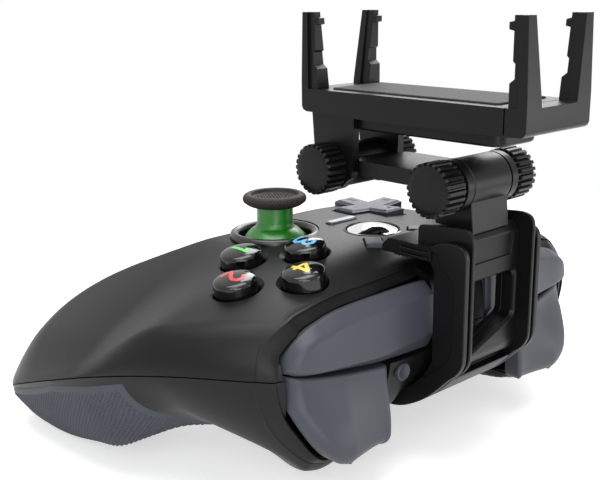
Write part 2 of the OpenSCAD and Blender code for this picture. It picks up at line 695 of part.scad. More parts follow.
module stick_housing(x, y, zc) {
    h = zc - 4.2 - board_z1;
    translate([x, y, zc]) {
        translate([-6.8, -7.4, -4.2 - h]) cube([13.6, 14.8, h]);
        for (s = [-1, 1]) difference() {
            translate([-2.2, s > 0 ? 6 : -7.4, -4.2]) cube([4.4, 1.4, 6.2]);
            rotate([90, 0, 0]) cylinder(r = gimbal_pin_r + run, h = 20, center = true, $fn = 32);
        }
    }
}

module right_stick_ring() { color([0.07, 0.07, 0.08]) stick_ring(stick_r_x, stick_r_y, cen_r_z); }
module left_stick_ring() { color([0.07, 0.07, 0.08]) stick_ring(-stick_l_x, stick_l_y, stick_l_z); }
module right_stick_cap() { color([0.08, 0.08, 0.08]) stick_cap(stick_r_x, stick_r_y, cen_r_z); }
module left_stick_cap() { color([0.08, 0.08, 0.08]) stick_cap(-stick_l_x, stick_l_y, stick_l_z); }
module right_stick_stem() { color([0.1, 0.45, 0.1]) stick_stem(stick_r_x, stick_r_y, cen_r_z); }
module left_stick_stem() { color([0.1, 0.45, 0.1]) stick_stem(-stick_l_x, stick_l_y, stick_l_z); }
module right_stick_yoke() { color([0.8, 0.8, 0.78]) stick_yoke(stick_r_x, stick_r_y, cen_r_z); }
module left_stick_yoke() { color([0.8, 0.8, 0.78]) stick_yoke(-stick_l_x, stick_l_y, stick_l_z); }
module right_stick_rocker() { color([0.2, 0.2, 0.2]) stick_rocker(stick_r_x, stick_r_y, cen_r_z); }
module left_stick_rocker() { color([0.2, 0.2, 0.2]) stick_rocker(-stick_l_x, stick_l_y, stick_l_z); }
module right_stick_housing() { color([0.15, 0.15, 0.16]) stick_housing(stick_r_x, stick_r_y, cen_r_z); }
module left_stick_housing() { color([0.15, 0.15, 0.16]) stick_housing(-stick_l_x, stick_l_y, stick_l_z); }

module face_button(n) {
    r = face_btn_r;
    h = face_btn_h;
    at_face_group() translate(concat(face_spot(n), [0])) rotate_extrude($fn = 72) polygon([
        [0, -face_foot], [r + flange_w, -face_foot], [r + flange_w, flange_t - face_foot],
        [r, flange_t - face_foot], [r, h - 1.6], [r - 0.3, h - 1], [r - 0.9, h - 0.6], [r - 2.4, h - 0.26],
        [r - 3.6, h - 0.1], [0, h]]);
}

module face_button_1() { color([0.05, 0.05, 0.06]) face_button(1); }
module face_button_2() { color([0.05, 0.05, 0.06]) face_button(2); }
module face_button_3() { color([0.05, 0.05, 0.06]) face_button(3); }
module face_button_4() { color([0.05, 0.05, 0.06]) face_button(4); }

// top of the soft dome under a face button, clear of the pressed button
function face_low(n) = face_zc - face_spot(n)[0] * sin(face_lean) - face_foot * cos(face_lean)
    - btn_travel - 1.2;

sheet_t = 0.7;
sheet_half = face_pitch + 5.35;
sheet_side = 6;
module button_sheet() {
    h = sheet_half;
    w = sheet_side;
    color([0.75, 0.76, 0.78]) {
        translate([face_x, face_y, board_z1]) linear_extrude(sheet_t)
            polygon([[-h, -w], [-w, -h], [w, -h], [h, -w], [h, w], [w, h - 1], [-w, h - 1], [-h, w]]);
        for (n = [1:4]) {
            p = face_spot(n);
            x = face_x + p[0] * cos(face_lean) - face_foot * sin(face_lean);
            translate([x, face_y + p[1], board_z1])
                cylinder(r1 = 4.4, r2 = 3, h = max(1, face_low(n) - board_z1), $fn = 40);
        }
    }
}

dpad_x = -stick_r_x;
dpad_z = face_z - 5;

module dpad() {
    color([0.27, 0.28, 0.31]) translate([dpad_x, stick_r_y, dpad_z]) difference() {
        union() {
            translate([0, 0, 2.4]) linear_extrude(3.9) cross2d(dpad_arm, dpad_w);
            for (s = [-1, 1]) translate([-1.5, s > 0 ? 2.5 : -3.9, -1.5]) cube([3, 1.4, 4.5]);
        }
        rotate([90, 0, 0]) cylinder(r = 0.8 + run, h = 20, center = true, $fn = 32);
        translate([0, 0, 2.4 + 3.9 + 24]) sphere(r = 24.8, $fn = 96);
    }
}

module dpad_rocker() {
    color([0.8, 0.8, 0.8]) translate([dpad_x, stick_r_y, dpad_z]) {
        cube([4.4, 4.4, 2.4], center = true);
        rotate([90, 0, 0]) cylinder(r = 0.8, h = 7.8, center = true, $fn = 32);
        rotate([0, 90, 0]) cylinder(r = 0.8, h = 7.8, center = true, $fn = 32);
    }
}

module dpad_post() {
    color([0.15, 0.15, 0.16]) translate([dpad_x, stick_r_y, dpad_z]) difference() {
        union() {
            for (s = [-1, 1]) translate([s > 0 ? 2.5 : -3.9, -1.5, board_z1 - dpad_z])
                cube([1.4, 3, dpad_z - board_z1 + 1.3]);
            translate([-3.9, -4, board_z1 - dpad_z]) cube([7.8, 8, 4]);
        }
        rotate([0, 90, 0]) cylinder(r = 0.8 + run, h = 20, center = true, $fn = 32);
    }
}

home_rise = 1.6;
module home_button() {
    dome = home_r * 2.2;
    color([0.85, 0.86, 0.88]) translate([0, home_y, face_z]) rotate_extrude($fn = 96) difference() {
        union() {
            translate([0, -key_foot]) square([home_r + flange_w, flange_t]);
            translate([0, -key_foot]) square([home_r, key_foot + home_rise]);
        }
        difference() {
            translate([0, 0.2]) square([2 * home_r, 8]);
            translate([0, home_rise - dome]) circle(r = dome, $fn = 160);
        }
    }
}

key_rise = 0.8;
module share_button() {
    color([0.75, 0.76, 0.78]) translate([-share_l / 2, share_y - share_w / 2, face_z - key_foot]) {
        cube([share_l, share_w, key_foot + key_rise]);
        translate([-flange_w, -0.6, 0]) cube([share_l + 2 * flange_w, share_w + 1.2, flange_t]);
    }
}

module slant_button(s) {
    translate([slant_x * s, slant_y, top_h(slant_x, slant_y) - key_foot]) rotate([0, 0, -slant_turn * s])
        translate([-slant_w / 2, -slant_l / 2, 0]) {
            cube([slant_w, slant_l, key_foot + key_rise]);
            translate([-0.7, -0.7, -0.2]) cube([slant_w + 1.4, slant_l + 1.4, flange_t]);
        }
}

module menu_button() { color([0.3, 0.31, 0.35]) slant_button(1); }
module view_button() { color([0.3, 0.31, 0.35]) slant_button(-1); }

module pair_button() {
    color([0.3, 0.31, 0.35]) translate([pair_x, front_y(pair_x), pair_z]) rotate([90, 0, 0]) {
        translate([0, 0, -0.2]) cylinder(r = pair_r, h = pair_flange_y + 1.2, $fn = 48);
        translate([0, 0, pair_flange_y]) cylinder(r = pair_r + 0.7, h = flange_t, $fn = 48);
    }
}

// a switch on the board under each of the small buttons
module tact_switches() {
    low = face_z - key_foot - btn_travel - switch_gap;
    side = top_h(slant_x, slant_y) - key_foot - 0.2 - btn_travel - switch_gap;
    pair_back = front_y(pair_x) - pair_flange_y - flange_t - 1.2;
    color([0.6, 0.6, 0.6]) {
        for (y = [home_y, share_y]) translate([-2, y - 2, board_z1]) cube([4, 4, low - board_z1]);
        for (s = [-1, 1]) translate([slant_x * s - 1.6, slant_y - 1.6, board_z1])
            cube([3.2, 3.2, side - board_z1]);
        translate([pair_x - 2, pair_back - 6, pair_z - 2]) cube([4, 6, board_z0 - pair_z + 2]);
    }
}

// half outline of the board, from the front middle round to the rear
board_half = [[22, board_front], [22, board_wing_y], [46, board_wing_y], [56, 14], [56, -4], [30, -17],
    [26, -21]];
module main_board() {
    color([0.05, 0.3, 0.15]) translate([0, 0, board_z0]) linear_extrude(board_t) polygon(concat(
        board_half, [for (k = [len(board_half) - 1:-1:0]) [-board_half[k][0], board_half[k][1]]]));
}

module battery_pack() {
    color([0.55, 0.57, 0.6]) translate([-cell_l / 2, 2 - cell_w / 2, board_z0 - cell_t])
        cube([cell_l, cell_w, cell_t]);
}

module usb_socket() {
    color([0.78, 0.78, 0.8]) translate([0, pad_front - 7.5, board_z1]) difference() {
        translate([-usb_w / 2, 0, 0]) cube([usb_w, usb_l, usb_h]);
        translate([0.4 - usb_w / 2, 2, 0.4]) cube([usb_w - 0.8, usb_l, usb_h - 0.8]);
    }
}

module case_screws() {
    color([0.6, 0.6, 0.62]) for (p = case_spots) {
        z = bot_z(p[0], p[1], 0) + case_sink;
        translate([p[0], p[1], z - 1.4]) cylinder(r = head_r + 0.1, h = 1.4, $fn = 32);
        translate([p[0], p[1], z - 0.5]) cylinder(r = screw_r, h = joint_z + 7 - z, $fn = 32);
    }
}

// clip frame: a C in side view, open towards the pad, with a low outer rim and a tall inner wall on each side
hook_side = [[clip_y, front_low_z + 1.6], [clip_y - 0.3, front_low_z - 1.2],
    [clip_y - 1.6, front_low_z - 3.6], [clip_y - 4.4, front_low_z - 5.8], [clip_y - 7, front_low_z - 8.7],
    [clip_y - 10, front_low_z - 11.8], [clip_y - 13, hook_z + 4], [clip_y - 16.4, hook_z + 2],
    [clip_y - 19.4, hook_z + 0.6], [clip_y - 22.4, hook_z], [clip_y - 25.2, hook_z + 0.4],
    [clip_y - 25.6, hook_z + 2.6], [clip_y - 22, hook_z + 3.6], [clip_y - 19.2, hook_z + 4.8],
    [clip_y - 16, hook_z + 7.2], [clip_y - 13.2, hook_z + 9.9], [clip_y - 11.4, hook_z + 12.6],
    [clip_back_y, hook_z + 15.4], [clip_back_y, slab_z0 - 2.4], [clip_back_y - 1.6, slab_z0]];
slab_side = [[slab_y0, slab_z0], [slab_y0, slab_z0 + 1.6], [slab_y0 + 2, slab_z1]];
rim_side = concat(slab_side, [[clip_y - 11, slab_z1], [clip_y - 6, rim_z1 - 0.1], [clip_y - 2.6, rim_z1],
    [clip_y - 0.8, rim_z1 - 0.8], [clip_y, rim_z1 - 2.6]], hook_side);
wall_side = concat(slab_side, [[wall_y0, slab_z1], [wall_y0, wall_z1 - 2.2], [wall_y0 + 1.2, wall_z1 - 1],
    [clip_y - 4, wall_z1], [clip_y - 1.6, wall_z1 - 0.4], [clip_y - 0.5, wall_z1 - 1.4],
    [clip_y, wall_z1 - 3]], hook_side);

module across(half, outline) {
    rotate([90, 0, 90]) translate([0, 0, -half]) linear_extrude(2 * half) polygon(outline);
}

module clip_screw_holes(r, y0, y1) {
    for (s = [-1, 1]) translate([s * clip_screw_x, y0, clip_screw_z]) rotate([-90, 0, 0])
        cylinder(r = r, h = y1 - y0, $fn = 32);
}

module clip_frame() {
    color([0.1, 0.1, 0.1]) difference() {
        union() {
            across(clip_half_w, rim_side);
            across(wall_half, wall_side);
        }
        translate([-panel_half - 0.1, panel_y0, 24]) cube([2 * panel_half + 0.2, 20, 40]);
        translate([-panel_half - 0.1, wall_y0 - 1, shoulder_z]) cube([2 * panel_half + 0.2, 20, 20]);
        translate([1.8 - panel_half, wall_y0 + 1.8, slab_z0 - 1])
            cube([2 * panel_half - 3.6, clip_back_y - wall_y0 - 3.6, shoulder_z - slab_z0 - 0.8]);
        for (s = [-1, 1]) {
            translate([s * (wall_half + 0.5) - 0.5, clip_y - 1.4, 26]) cube([1, 3, 40]);
            translate([s * (clip_half_w + 5), slab_y0, slab_z0 - 5]) rotate([0, 0, 45])
                cube([7, 7, 30], center = true);
        }
        window_cut();
        clip_screw_holes(head_r + 0.3, clip_back_y - 6, clip_back_y);
        clip_screw_holes(screw_r + 0.3, clip_back_y - 1, clip_y);
    }
}

module window_cut() {
    w = window_half;
    translate([0, clip_y + 9, 0]) rotate([90, 0, 0]) linear_extrude(30)
        polygon([[1.6 - w, window_top], [w, window_top], [w, window_low], [1.4 - w, window_mid],
            [-w, window_mid + 1.6], [-w, window_top - 1.6]]);
}

// outline of the neck that carries the lower barrel, in side view
neck_side = [[panel_y0, shoulder_z - 1], [panel_y1 - 0.7, shoulder_z - 1], [panel_y1 - 0.2, shoulder_z + 3],
    [lower_y + 5.8, pivot_z], [lower_y - 5.8, pivot_z], [lower_y - 6, shoulder_z + 2],
    [lower_y - 5.4, shoulder_z + 0.3], [panel_y0, shoulder_z + 0.3]];

// round bar or bore along X through a pivot
module pivot_bar(y, r, half) {
    translate([-half, y, pivot_z]) rotate([0, 90, 0]) cylinder(r = r, h = 2 * half, $fn = 72);
}

module clip_panel() {
    color([0.12, 0.12, 0.12]) difference() {
        union() {
            across(panel_half, [[panel_y0, panel_z0], [panel_y1 - 1, panel_z0 + 1.8],
                [panel_y1, panel_z0 + 4], [panel_y1, shoulder_z - 2.1], [panel_y1 - 1, shoulder_z],
                [panel_y0, shoulder_z]]);
            across(barrel_half - 0.2, neck_side);
            pivot_bar(lower_y, barrel_r, barrel_half);
        }
        pivot_bar(lower_y, bolt_r, knob_x1);
        window_cut();
        clip_screw_holes(screw_r + 0.05, clip_back_y, panel_y0 + 2.3);
        translate([-8.4, panel_y1 - 0.5, shoulder_z - 8.2]) cube([16.8, 2, 5.4]);
    }
}

module clip_screws() {
    color([0.6, 0.6, 0.62]) {
        clip_screw_holes(head_r, clip_back_y - 1, clip_back_y);
        clip_screw_holes(screw_r, clip_back_y - 0.5, clip_back_y + 3.5);
    }
}

module clip_pads() {
    color([0.2, 0.2, 0.2]) translate([3 - clip_half_w, slab_y0 + 1.5, face_z - 1])
        cube([2 * clip_half_w - 6, 6, 1.4]);
}

// ear of a pivot on one side: s is +1 or -1
module pivot_ear(s, y) {
    translate([s > 0 ? ear_x0 : -ear_x1, y, pivot_z]) rotate([0, 90, 0])
        cylinder(r = barrel_r, h = ear_t, $fn = 72);
}

module arm_link() {
    z0 = pivot_z - arm_low;
    block_y = upper_y + 8.6;
    block_l = lower_y - upper_y - 16.6;
    cheek_y = lower_y - 10.8;
    color([0.11, 0.11, 0.11]) difference() {
        union() {
            for (s = [-1, 1]) {
                pivot_ear(s, lower_y);
                translate([s > 0 ? ear_x0 : -ear_x1, cheek_y, z0]) cube([ear_t, lower_y - cheek_y, arm_t]);
            }
            translate([-ear_x1, block_y, z0]) cube([2 * ear_x1, block_l, arm_t]);
            translate([-barrel_half, upper_y, z0]) cube([2 * barrel_half, 12, arm_t]);
            pivot_bar(upper_y, barrel_r - 0.5, barrel_half);
        }
        pivot_bar(lower_y, bolt_r + run, knob_x1);
        pivot_bar(upper_y, bolt_r, knob_x1);
    }
}

module pivot_bolt(y) {
    pivot_bar(y, bolt_r, knob_x1 - 1);
}

module lower_bolt() { color([0.6, 0.6, 0.62]) pivot_bolt(lower_y); }
module upper_bolt() { color([0.6, 0.6, 0.62]) pivot_bolt(upper_y); }

module knob(s, y) {
    n = knob_ribs;
    r0 = knob_r - 0.7;
    pts = [for (k = [0:n - 1], c = [[0.1, r0], [0.3, knob_r], [0.7, knob_r], [0.9, r0]])
        [c[1] * cos(360 * (k + c[0]) / n), c[1] * sin(360 * (k + c[0]) / n)]];
    translate([s > 0 ? knob_x0 : -knob_x0, y, pivot_z]) rotate([0, s > 0 ? 90 : -90, 0]) difference() {
        union() {
            cylinder(r = r0 + 0.1, h = 0.8, $fn = 64);
            translate([0, 0, 0.7]) linear_extrude(knob_l - 1.4) polygon(pts);
            translate([0, 0, knob_l - 0.8])
                cylinder(r1 = knob_r - 0.1, r2 = knob_r - 0.9, h = 0.8, $fn = 64);
        }
        translate([0, 0, -1]) cylinder(r = bolt_r + run, h = knob_l, $fn = 40);
    }
}

module lower_knob_right() { color([0.1, 0.1, 0.1]) knob(1, lower_y); }
module lower_knob_left() { color([0.1, 0.1, 0.1]) knob(-1, lower_y); }
module upper_knob_right() { color([0.1, 0.1, 0.1]) knob(1, upper_y); }
module upper_knob_left() { color([0.1, 0.1, 0.1]) knob(-1, upper_y); }

// jaw posts: a stepped profile in side view, tapered towards the top; d is +1 for the front jaw
module jaw_posts(y, d) {
    z = tray_z1;
    foot_in = tray_half_w - post_w;
    prof = [[0, z - 1.2], [jaw_t, z - 1.2], [jaw_t, z + 2], [jaw_t - 0.6, post_z1], [-0.4, post_z1],
        [-0.4, post_z1 - 2], [1.6, post_z1 - 3], [1.6, z + 12.5], [0.6, z + 11.8], [0.6, z + 7.4],
        [1.4, z + 6.6], [1.4, z + 3.2], [0, z + 2]];
    taper = [[foot_in - 1, z + 1], [foot_in, z + 1], [tray_half_w - post_top_w, post_z1 + 1],
        [foot_in - 1, post_z1 + 1]];
    for (s = [-1, 1]) difference() {
        translate([0, y, 0]) scale([1, d, 1]) translate([s > 0 ? foot_in : -tray_half_w, 0, 0])
            rotate([90, 0, 90]) linear_extrude(post_w) polygon(prof);
        translate([0, y + 20, 0]) rotate([90, 0, 0]) linear_extrude(40) scale([s, 1]) polygon(taper);
    }
}

// round bars or bores for the jaw's two rods, from y0 forward
module rods(r, y0, length) {
    for (s = [-1, 1]) translate([s * rod_x, y0, rod_z]) rotate([-90, 0, 0])
        cylinder(r = r, h = length, $fn = 40);
}

module phone_tray() {
    ear_side = [[upper_y - 6.2, pivot_z], [upper_y + 7.2, pivot_z], [upper_y + 8, tray_z + 1],
        [tray_y0 + 1, tray_z + 1]];
    color([0.11, 0.11, 0.11]) difference() {
        union() {
            translate([-tray_half_w, tray_y0, tray_z]) cube([2 * tray_half_w, tray_l, tray_t]);
            jaw_posts(tray_y0 + jaw_t, -1);
            translate([-under_half, tray_y0 + 16, tray_z - under_t])
                cube([2 * under_half, tray_l - 20, under_t + 1]);
            for (s = [-1, 1]) {
                pivot_ear(s, upper_y);
                translate([s > 0 ? ear_x0 : -ear_x1, 0, 0]) rotate([90, 0, 90]) linear_extrude(ear_t)
                    polygon(ear_side);
            }
        }
        pivot_bar(upper_y, bolt_r + run, knob_x1);
        rods(rod_r + run, tray_y1 - bore_l, bore_l + 4);
        translate([0, tray_y1 - coil_l, rod_z]) rotate([-90, 0, 0])
            cylinder(r = coil_r + 0.4, h = coil_l + 4, $fn = 40);
        translate([-pad_half - pad_room, pad_y0 - pad_room, tray_z1 - pad_sink])
            cube([2 * (pad_half + pad_room), pad_l + 2 * pad_room, 4]);
    }
}

module tray_pad() {
    color([0.35, 0.35, 0.35]) translate([-pad_half, pad_y0, tray_z1 - pad_sink])
        cube([2 * pad_half, pad_l, pad_t]);
}

module sliding_jaw() {
    color([0.11, 0.11, 0.11]) {
        translate([-tray_half_w, jaw_y0, tray_z]) cube([2 * tray_half_w, jaw_t, tray_t]);
        jaw_posts(jaw_y0, 1);
        rods(rod_r, jaw_y0 - rod_l, rod_l + 0.6);
    }
}

module jaw_spring() {
    color([0.7, 0.7, 0.72]) translate([0, tray_y1 - coil_l, rod_z]) rotate([-90, 0, 0]) difference() {
        cylinder(r = coil_r, h = coil_l, $fn = 40);
        translate([0, 0, -1]) cylinder(r = coil_r - 0.6, h = coil_l + 2, $fn = 40);
    }
}

top_shell();
bottom_shell();
right_grip_panel();
left_grip_panel();
right_bumper();
left_bumper();
right_trigger();
left_trigger();
right_trigger_bracket();
left_trigger_bracket();
trigger_pins();
trigger_springs();
bumper_pins();
right_stick_ring();
left_stick_ring();
right_stick_cap();
left_stick_cap();
right_stick_stem();
left_stick_stem();
right_stick_yoke();
left_stick_yoke();
right_stick_rocker();
left_stick_rocker();
right_stick_housing();
left_stick_housing();
face_button_1();
face_button_2();
face_button_3();
face_button_4();
button_sheet();
dpad();
dpad_rocker();
dpad_post();
home_button();
share_button();
menu_button();
view_button();
pair_button();
tact_switches();
main_board();
battery_pack();
usb_socket();
case_screws();
clip_frame();
clip_panel();
clip_screws();
clip_pads();
arm_link();
lower_bolt();
upper_bolt();
lower_knob_right();
lower_knob_left();
upper_knob_right();
upper_knob_left();
phone_tray();
tray_pad();
sliding_jaw();
jaw_spring();
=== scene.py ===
# %% [markdown]
# # A game pad with a folding phone clip
#
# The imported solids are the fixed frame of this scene. Every visible piece is built here as a finer mesh,
# in the same place and at the same size as its solid, and rides on the solid's body so that it moves
# with the joints. Sizes are written in millimetres and turned into metres when a mesh is made.

# %% load the frame and keep its box
import json
import math

import bmesh
import bpy
import numpy as np
from mathutils import Matrix, Vector


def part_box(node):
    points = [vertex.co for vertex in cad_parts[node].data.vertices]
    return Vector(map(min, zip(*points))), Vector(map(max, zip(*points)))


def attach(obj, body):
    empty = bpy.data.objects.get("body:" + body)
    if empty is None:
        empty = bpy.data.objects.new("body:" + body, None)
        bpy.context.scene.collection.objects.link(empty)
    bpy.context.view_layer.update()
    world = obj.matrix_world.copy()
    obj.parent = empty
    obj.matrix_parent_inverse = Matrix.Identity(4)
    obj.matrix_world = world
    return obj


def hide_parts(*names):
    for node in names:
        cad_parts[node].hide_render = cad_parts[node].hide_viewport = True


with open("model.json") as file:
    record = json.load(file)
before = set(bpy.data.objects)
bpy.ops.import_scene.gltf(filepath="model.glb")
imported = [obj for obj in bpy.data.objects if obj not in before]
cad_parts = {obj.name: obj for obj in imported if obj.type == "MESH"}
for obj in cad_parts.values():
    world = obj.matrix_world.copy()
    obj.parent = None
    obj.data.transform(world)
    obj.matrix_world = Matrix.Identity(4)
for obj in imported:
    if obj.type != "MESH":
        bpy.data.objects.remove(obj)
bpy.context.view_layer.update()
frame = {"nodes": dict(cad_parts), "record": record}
scene = bpy.context.scene
MM = 0.001


def low(node):
    """Lowest corner of a solid, in millimetres."""
    return np.array(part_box(node)[0]) / MM


def high(node):
    """Highest corner of a solid, in millimetres."""
    return np.array(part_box(node)[1]) / MM


def middle(node):
    """Centre of a solid's box, in millimetres."""
    return (low(node) + high(node)) / 2


# %% [markdown]
# ## Camera
#
# The picture was taken from in front and to the right of the pad, a little above it. The camera is
# written as a place, a heading, a height angle and a small roll, with a lens that gives the same frame.

# %% camera
PICTURE_W = 600
FOCAL_PX = 942.8
CAMERA_AT = Vector((181.8, 177.8, 116.5)) * MM
CAMERA_HEADING = math.radians(137.63)
CAMERA_HEIGHT = math.radians(14.97)
CAMERA_ROLL = math.radians(-0.76)

back = Vector((math.sin(CAMERA_HEADING) * math.cos(CAMERA_HEIGHT),
               -math.cos(CAMERA_HEADING) * math.cos(CAMERA_HEIGHT), math.sin(CAMERA_HEIGHT)))
side = Vector((math.cos(CAMERA_HEADING), math.sin(CAMERA_HEADING), 0))
upward = back.cross(side)
right = side * math.cos(CAMERA_ROLL) + upward * math.sin(CAMERA_ROLL)
upward = upward * math.cos(CAMERA_ROLL) - side * math.sin(CAMERA_ROLL)
camera_data = bpy.data.cameras.new("camera")
camera_data.sensor_fit = "HORIZONTAL"
camera_data.sensor_width = 36.0
camera_data.lens = FOCAL_PX * camera_data.sensor_width / PICTURE_W
camera_data.clip_start = 0.01
camera = bpy.data.objects.new("camera", camera_data)
camera.matrix_world = Matrix.Translation(CAMERA_AT) @ Matrix((right, upward, back)).transposed().to_4x4()
scene.collection.objects.link(camera)
scene.camera = camera
scene.view_settings.view_transform = "Standard"
print("lens mm:", round(camera_data.lens, 2))

# %% [markdown]
# ## Mesh helpers
#
# Most pieces of a moulded product are one of four shapes: a skin with a thickness, a profile turned
# round an axis, an outline pushed along an axis, or a row of profiles joined into a loft. Each helper
# returns points and faces, and `new_piece` makes one closed, outward-facing mesh of them.

# %% mesh helpers


def new_piece(name, shape, finish, sharp=35.0):
    """A mesh piece from points in millimetres, shaded smooth up to the sharp angle."""
    points, faces = shape
    mesh = bpy.data.meshes.new(name)
    mesh.from_pydata([tuple(float(c) * MM for c in p) for p in points], [], faces)
    mesh.materials.append(finish)
    work = bmesh.new()
    work.from_mesh(mesh)
    bmesh.ops.remove_doubles(work, verts=work.verts, dist=2e-7)
    bmesh.ops.recalc_face_normals(work, faces=work.faces)
    work.to_mesh(mesh)
    work.free()
    piece = bpy.data.objects.new(name, mesh)
    scene.collection.objects.link(piece)
    smooth(piece, sharp)
    return piece


def smooth(piece, sharp=35.0):
    piece.data.shade_smooth()
    piece.data.set_sharp_from_angle(angle=math.radians(sharp))


def settle(piece):
    """Makes the result of a piece's modifiers its own plain mesh."""
    evaluated = piece.evaluated_get(bpy.context.evaluated_depsgraph_get())
    mesh = bpy.data.meshes.new_from_object(evaluated)
    old = piece.data
    piece.modifiers.clear()
    piece.data = mesh
    bpy.data.meshes.remove(old)
    mesh.name = piece.name
    return piece


def soften(piece, edge, segments=3, angle=40.0):
    """Rounds the sharp edges of a piece by a bevel of that width, in millimetres."""
    smooth(piece, 180.0)
    bevel = piece.modifiers.new("edge", "BEVEL")
    bevel.width = edge * MM
    bevel.segments = segments
    bevel.limit_method = "ANGLE"
    bevel.angle_limit = math.radians(angle)
    weight = piece.modifiers.new("flat", "WEIGHTED_NORMAL")
    weight.keep_sharp = True
    return settle(piece)


def cut(piece, cutters, sharp=35.0, solver="MANIFOLD", operation="DIFFERENCE"):
    """Cuts closed pieces out of a piece, and removes the cutters."""
    for cutter in cutters:
        step = piece.modifiers.new("cut", "BOOLEAN")
        step.operation = operation
        step.solver = solver
        step.object = cutter
    settle(piece)
    for cutter in cutters:
        bpy.data.objects.remove(cutter)
    smooth(piece, sharp)
    return piece


def join(name, pieces):
    """One piece from several; the first one gives the materials' order."""
    first = pieces[0]
    with bpy.context.temp_override(active_object=first, object=first, selected_editable_objects=pieces):
        bpy.ops.object.join()
    first.name = name
    first.data.name = name
    return first


def grid_solid(outer, inner):
    """Points and faces of a skin between two grids of points."""
    rows, columns = outer.shape[:2]
    points = np.concatenate([outer.reshape(-1, 3), inner.reshape(-1, 3)])

    def at(layer, i, j):
        return (layer * rows + i) * columns + j

    faces = []
    for i in range(rows - 1):
        for j in range(columns - 1):
            for layer in (0, 1):
                faces.append((at(layer, i, j), at(layer, i + 1, j),
                              at(layer, i + 1, j + 1), at(layer, i, j + 1)))
        for j in (0, columns - 1):
            faces.append((at(0, i, j), at(1, i, j), at(1, i + 1, j), at(0, i + 1, j)))
    for j in range(columns - 1):
        for i in (0, rows - 1):
            faces.append((at(0, i, j), at(0, i, j + 1), at(1, i, j + 1), at(1, i, j)))
    return points, faces


def loft(rings):
    """Points and faces of a solid through closed profiles with equal point counts."""
    count, size = rings.shape[:2]
    faces = []
    for a in range(count - 1):
        for b in range(size):
            ahead = (b + 1) % size
            faces.append((a * size + b, (a + 1) * size + b, (a + 1) * size + ahead, a * size + ahead))
    faces += [tuple(range(size)), tuple(range((count - 1) * size, count * size))]
    return rings.reshape(-1, 3), faces


def on_axis(axis, a, b, h):
    """A point at a height along an axis; a and b are the other two directions, in x, y, z order."""
    return {"x": (h, a, b), "y": (a, h, b), "z": (a, b, h)}[axis]


def turned(profile, centre, axis="z", turns=96, closed=False):
    """Points and faces of a profile of (radius, height) turned round an axis through the centre."""
    size = len(profile)
    points = []
    for k in range(turns):
        c, s = math.cos(2 * math.pi * k / turns), math.sin(2 * math.pi * k / turns)
        for r, h in profile:
            points.append(np.array(centre, float) + on_axis(axis, r * c, r * s, h))
    spans = size if closed else size - 1
    faces = []
    for k in range(turns):
        n = (k + 1) % turns
        for b in range(spans):
            ahead = (b + 1) % size
            faces.append((k * size + b, n * size + b, n * size + ahead, k * size + ahead))
    return points, faces


def extruded(outline, axis, start, end):
    """Points and faces of an outline pushed along an axis from a start to an end."""
    size = len(outline)
    points = [on_axis(axis, a, b, h) for h in (start, end) for a, b in outline]
    faces = [(i, (i + 1) % size, size + (i + 1) % size, size + i) for i in range(size)]
    return points, faces + [tuple(range(size)), tuple(range(size, 2 * size))]


def fillet(points, radius, steps=5):
    """A closed outline with rounded corners; radius is one value, or one for each corner."""
    radii = radius if isinstance(radius, (list, tuple)) else [radius] * len(points)
    rounded = []
    for k, corner in enumerate(points):
        corner = np.array(corner, float)
        before = np.array(points[k - 1], float) - corner
        after = np.array(points[(k + 1) % len(points)], float) - corner
        reach_a, reach_b = np.linalg.norm(before), np.linalg.norm(after)
        before, after = before / reach_a, after / reach_b
        half = math.acos(max(-1.0, min(1.0, float(before @ after)))) / 2
        reach = min(radii[k] / max(math.tan(half), 1e-3), 0.49 * reach_a, 0.49 * reach_b)
        for t in np.linspace(0, 1, steps + 1):
            rounded.append(corner + before * reach * (1 - t) ** 2 + after * reach * t ** 2)
    return rounded


def curve_through(points, steps=8):
    """Points along a smooth open curve through the given points."""
    fixed = np.array(points, float)
    ends = np.vstack([2 * fixed[0] - fixed[1], fixed, 2 * fixed[-1] - fixed[-2]])
    path = []
    for k in range(1, len(ends) - 2):
        a, b, c, d = ends[k - 1:k + 3]
        for t in np.linspace(0, 1, steps, endpoint=False):
            path.append(0.5 * (2 * b + (c - a) * t + (2 * a - 5 * b + 4 * c - d) * t ** 2
                               + (3 * b - a - 3 * c + d) * t ** 3))
    path.append(fixed[-1])
    return np.array(path)


def mirrored(shape):
    """The same points and faces on the other side of the pad's middle plane."""
    points, faces = shape
    return [(-p[0], p[1], p[2]) for p in points], faces


def sided(shape, sign):
    """A shape made for the right side, or its mirror image for the left."""
    return shape if sign > 0 else mirrored(shape)


def rectangle(low_a, low_b, high_a, high_b):
    """Corners of a rectangle, anticlockwise from the lowest one."""
    return [(low_a, low_b), (high_a, low_b), (high_a, high_b), (low_a, high_b)]


def seat(piece, body, slot, *nodes):
    """Puts a finished piece on its body and hides the solids that it stands for; the slot is not used."""
    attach(piece, body)
    if nodes:
        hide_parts(*nodes)
    return piece


SIDES = (("right", 1), ("left", -1))
print("helpers ready, sides:", [name for name, sign in SIDES])

# %% [markdown]
# ## Finishes
#
# A finish starts from the real material and how its surface was made. Moulded plastic has a fine
# spark-eroded grain: it breaks up the gloss a little and makes the sheen soft. One function adds a node
# with its settings and links, and one makes a moulded finish from a colour, a gloss and a grain size.

# %% finishes
GLOSS_SPREAD = 0.06


def linear(code):
    """A hex colour as it looks on screen, as linear red, green, blue and alpha."""
    parts = [int(code[k:k + 2], 16) / 255 for k in (1, 3, 5)]
    return tuple(p / 12.92 if p <= 0.04045 else ((p + 0.055) / 1.055) ** 2.4 for p in parts) + (1.0,)


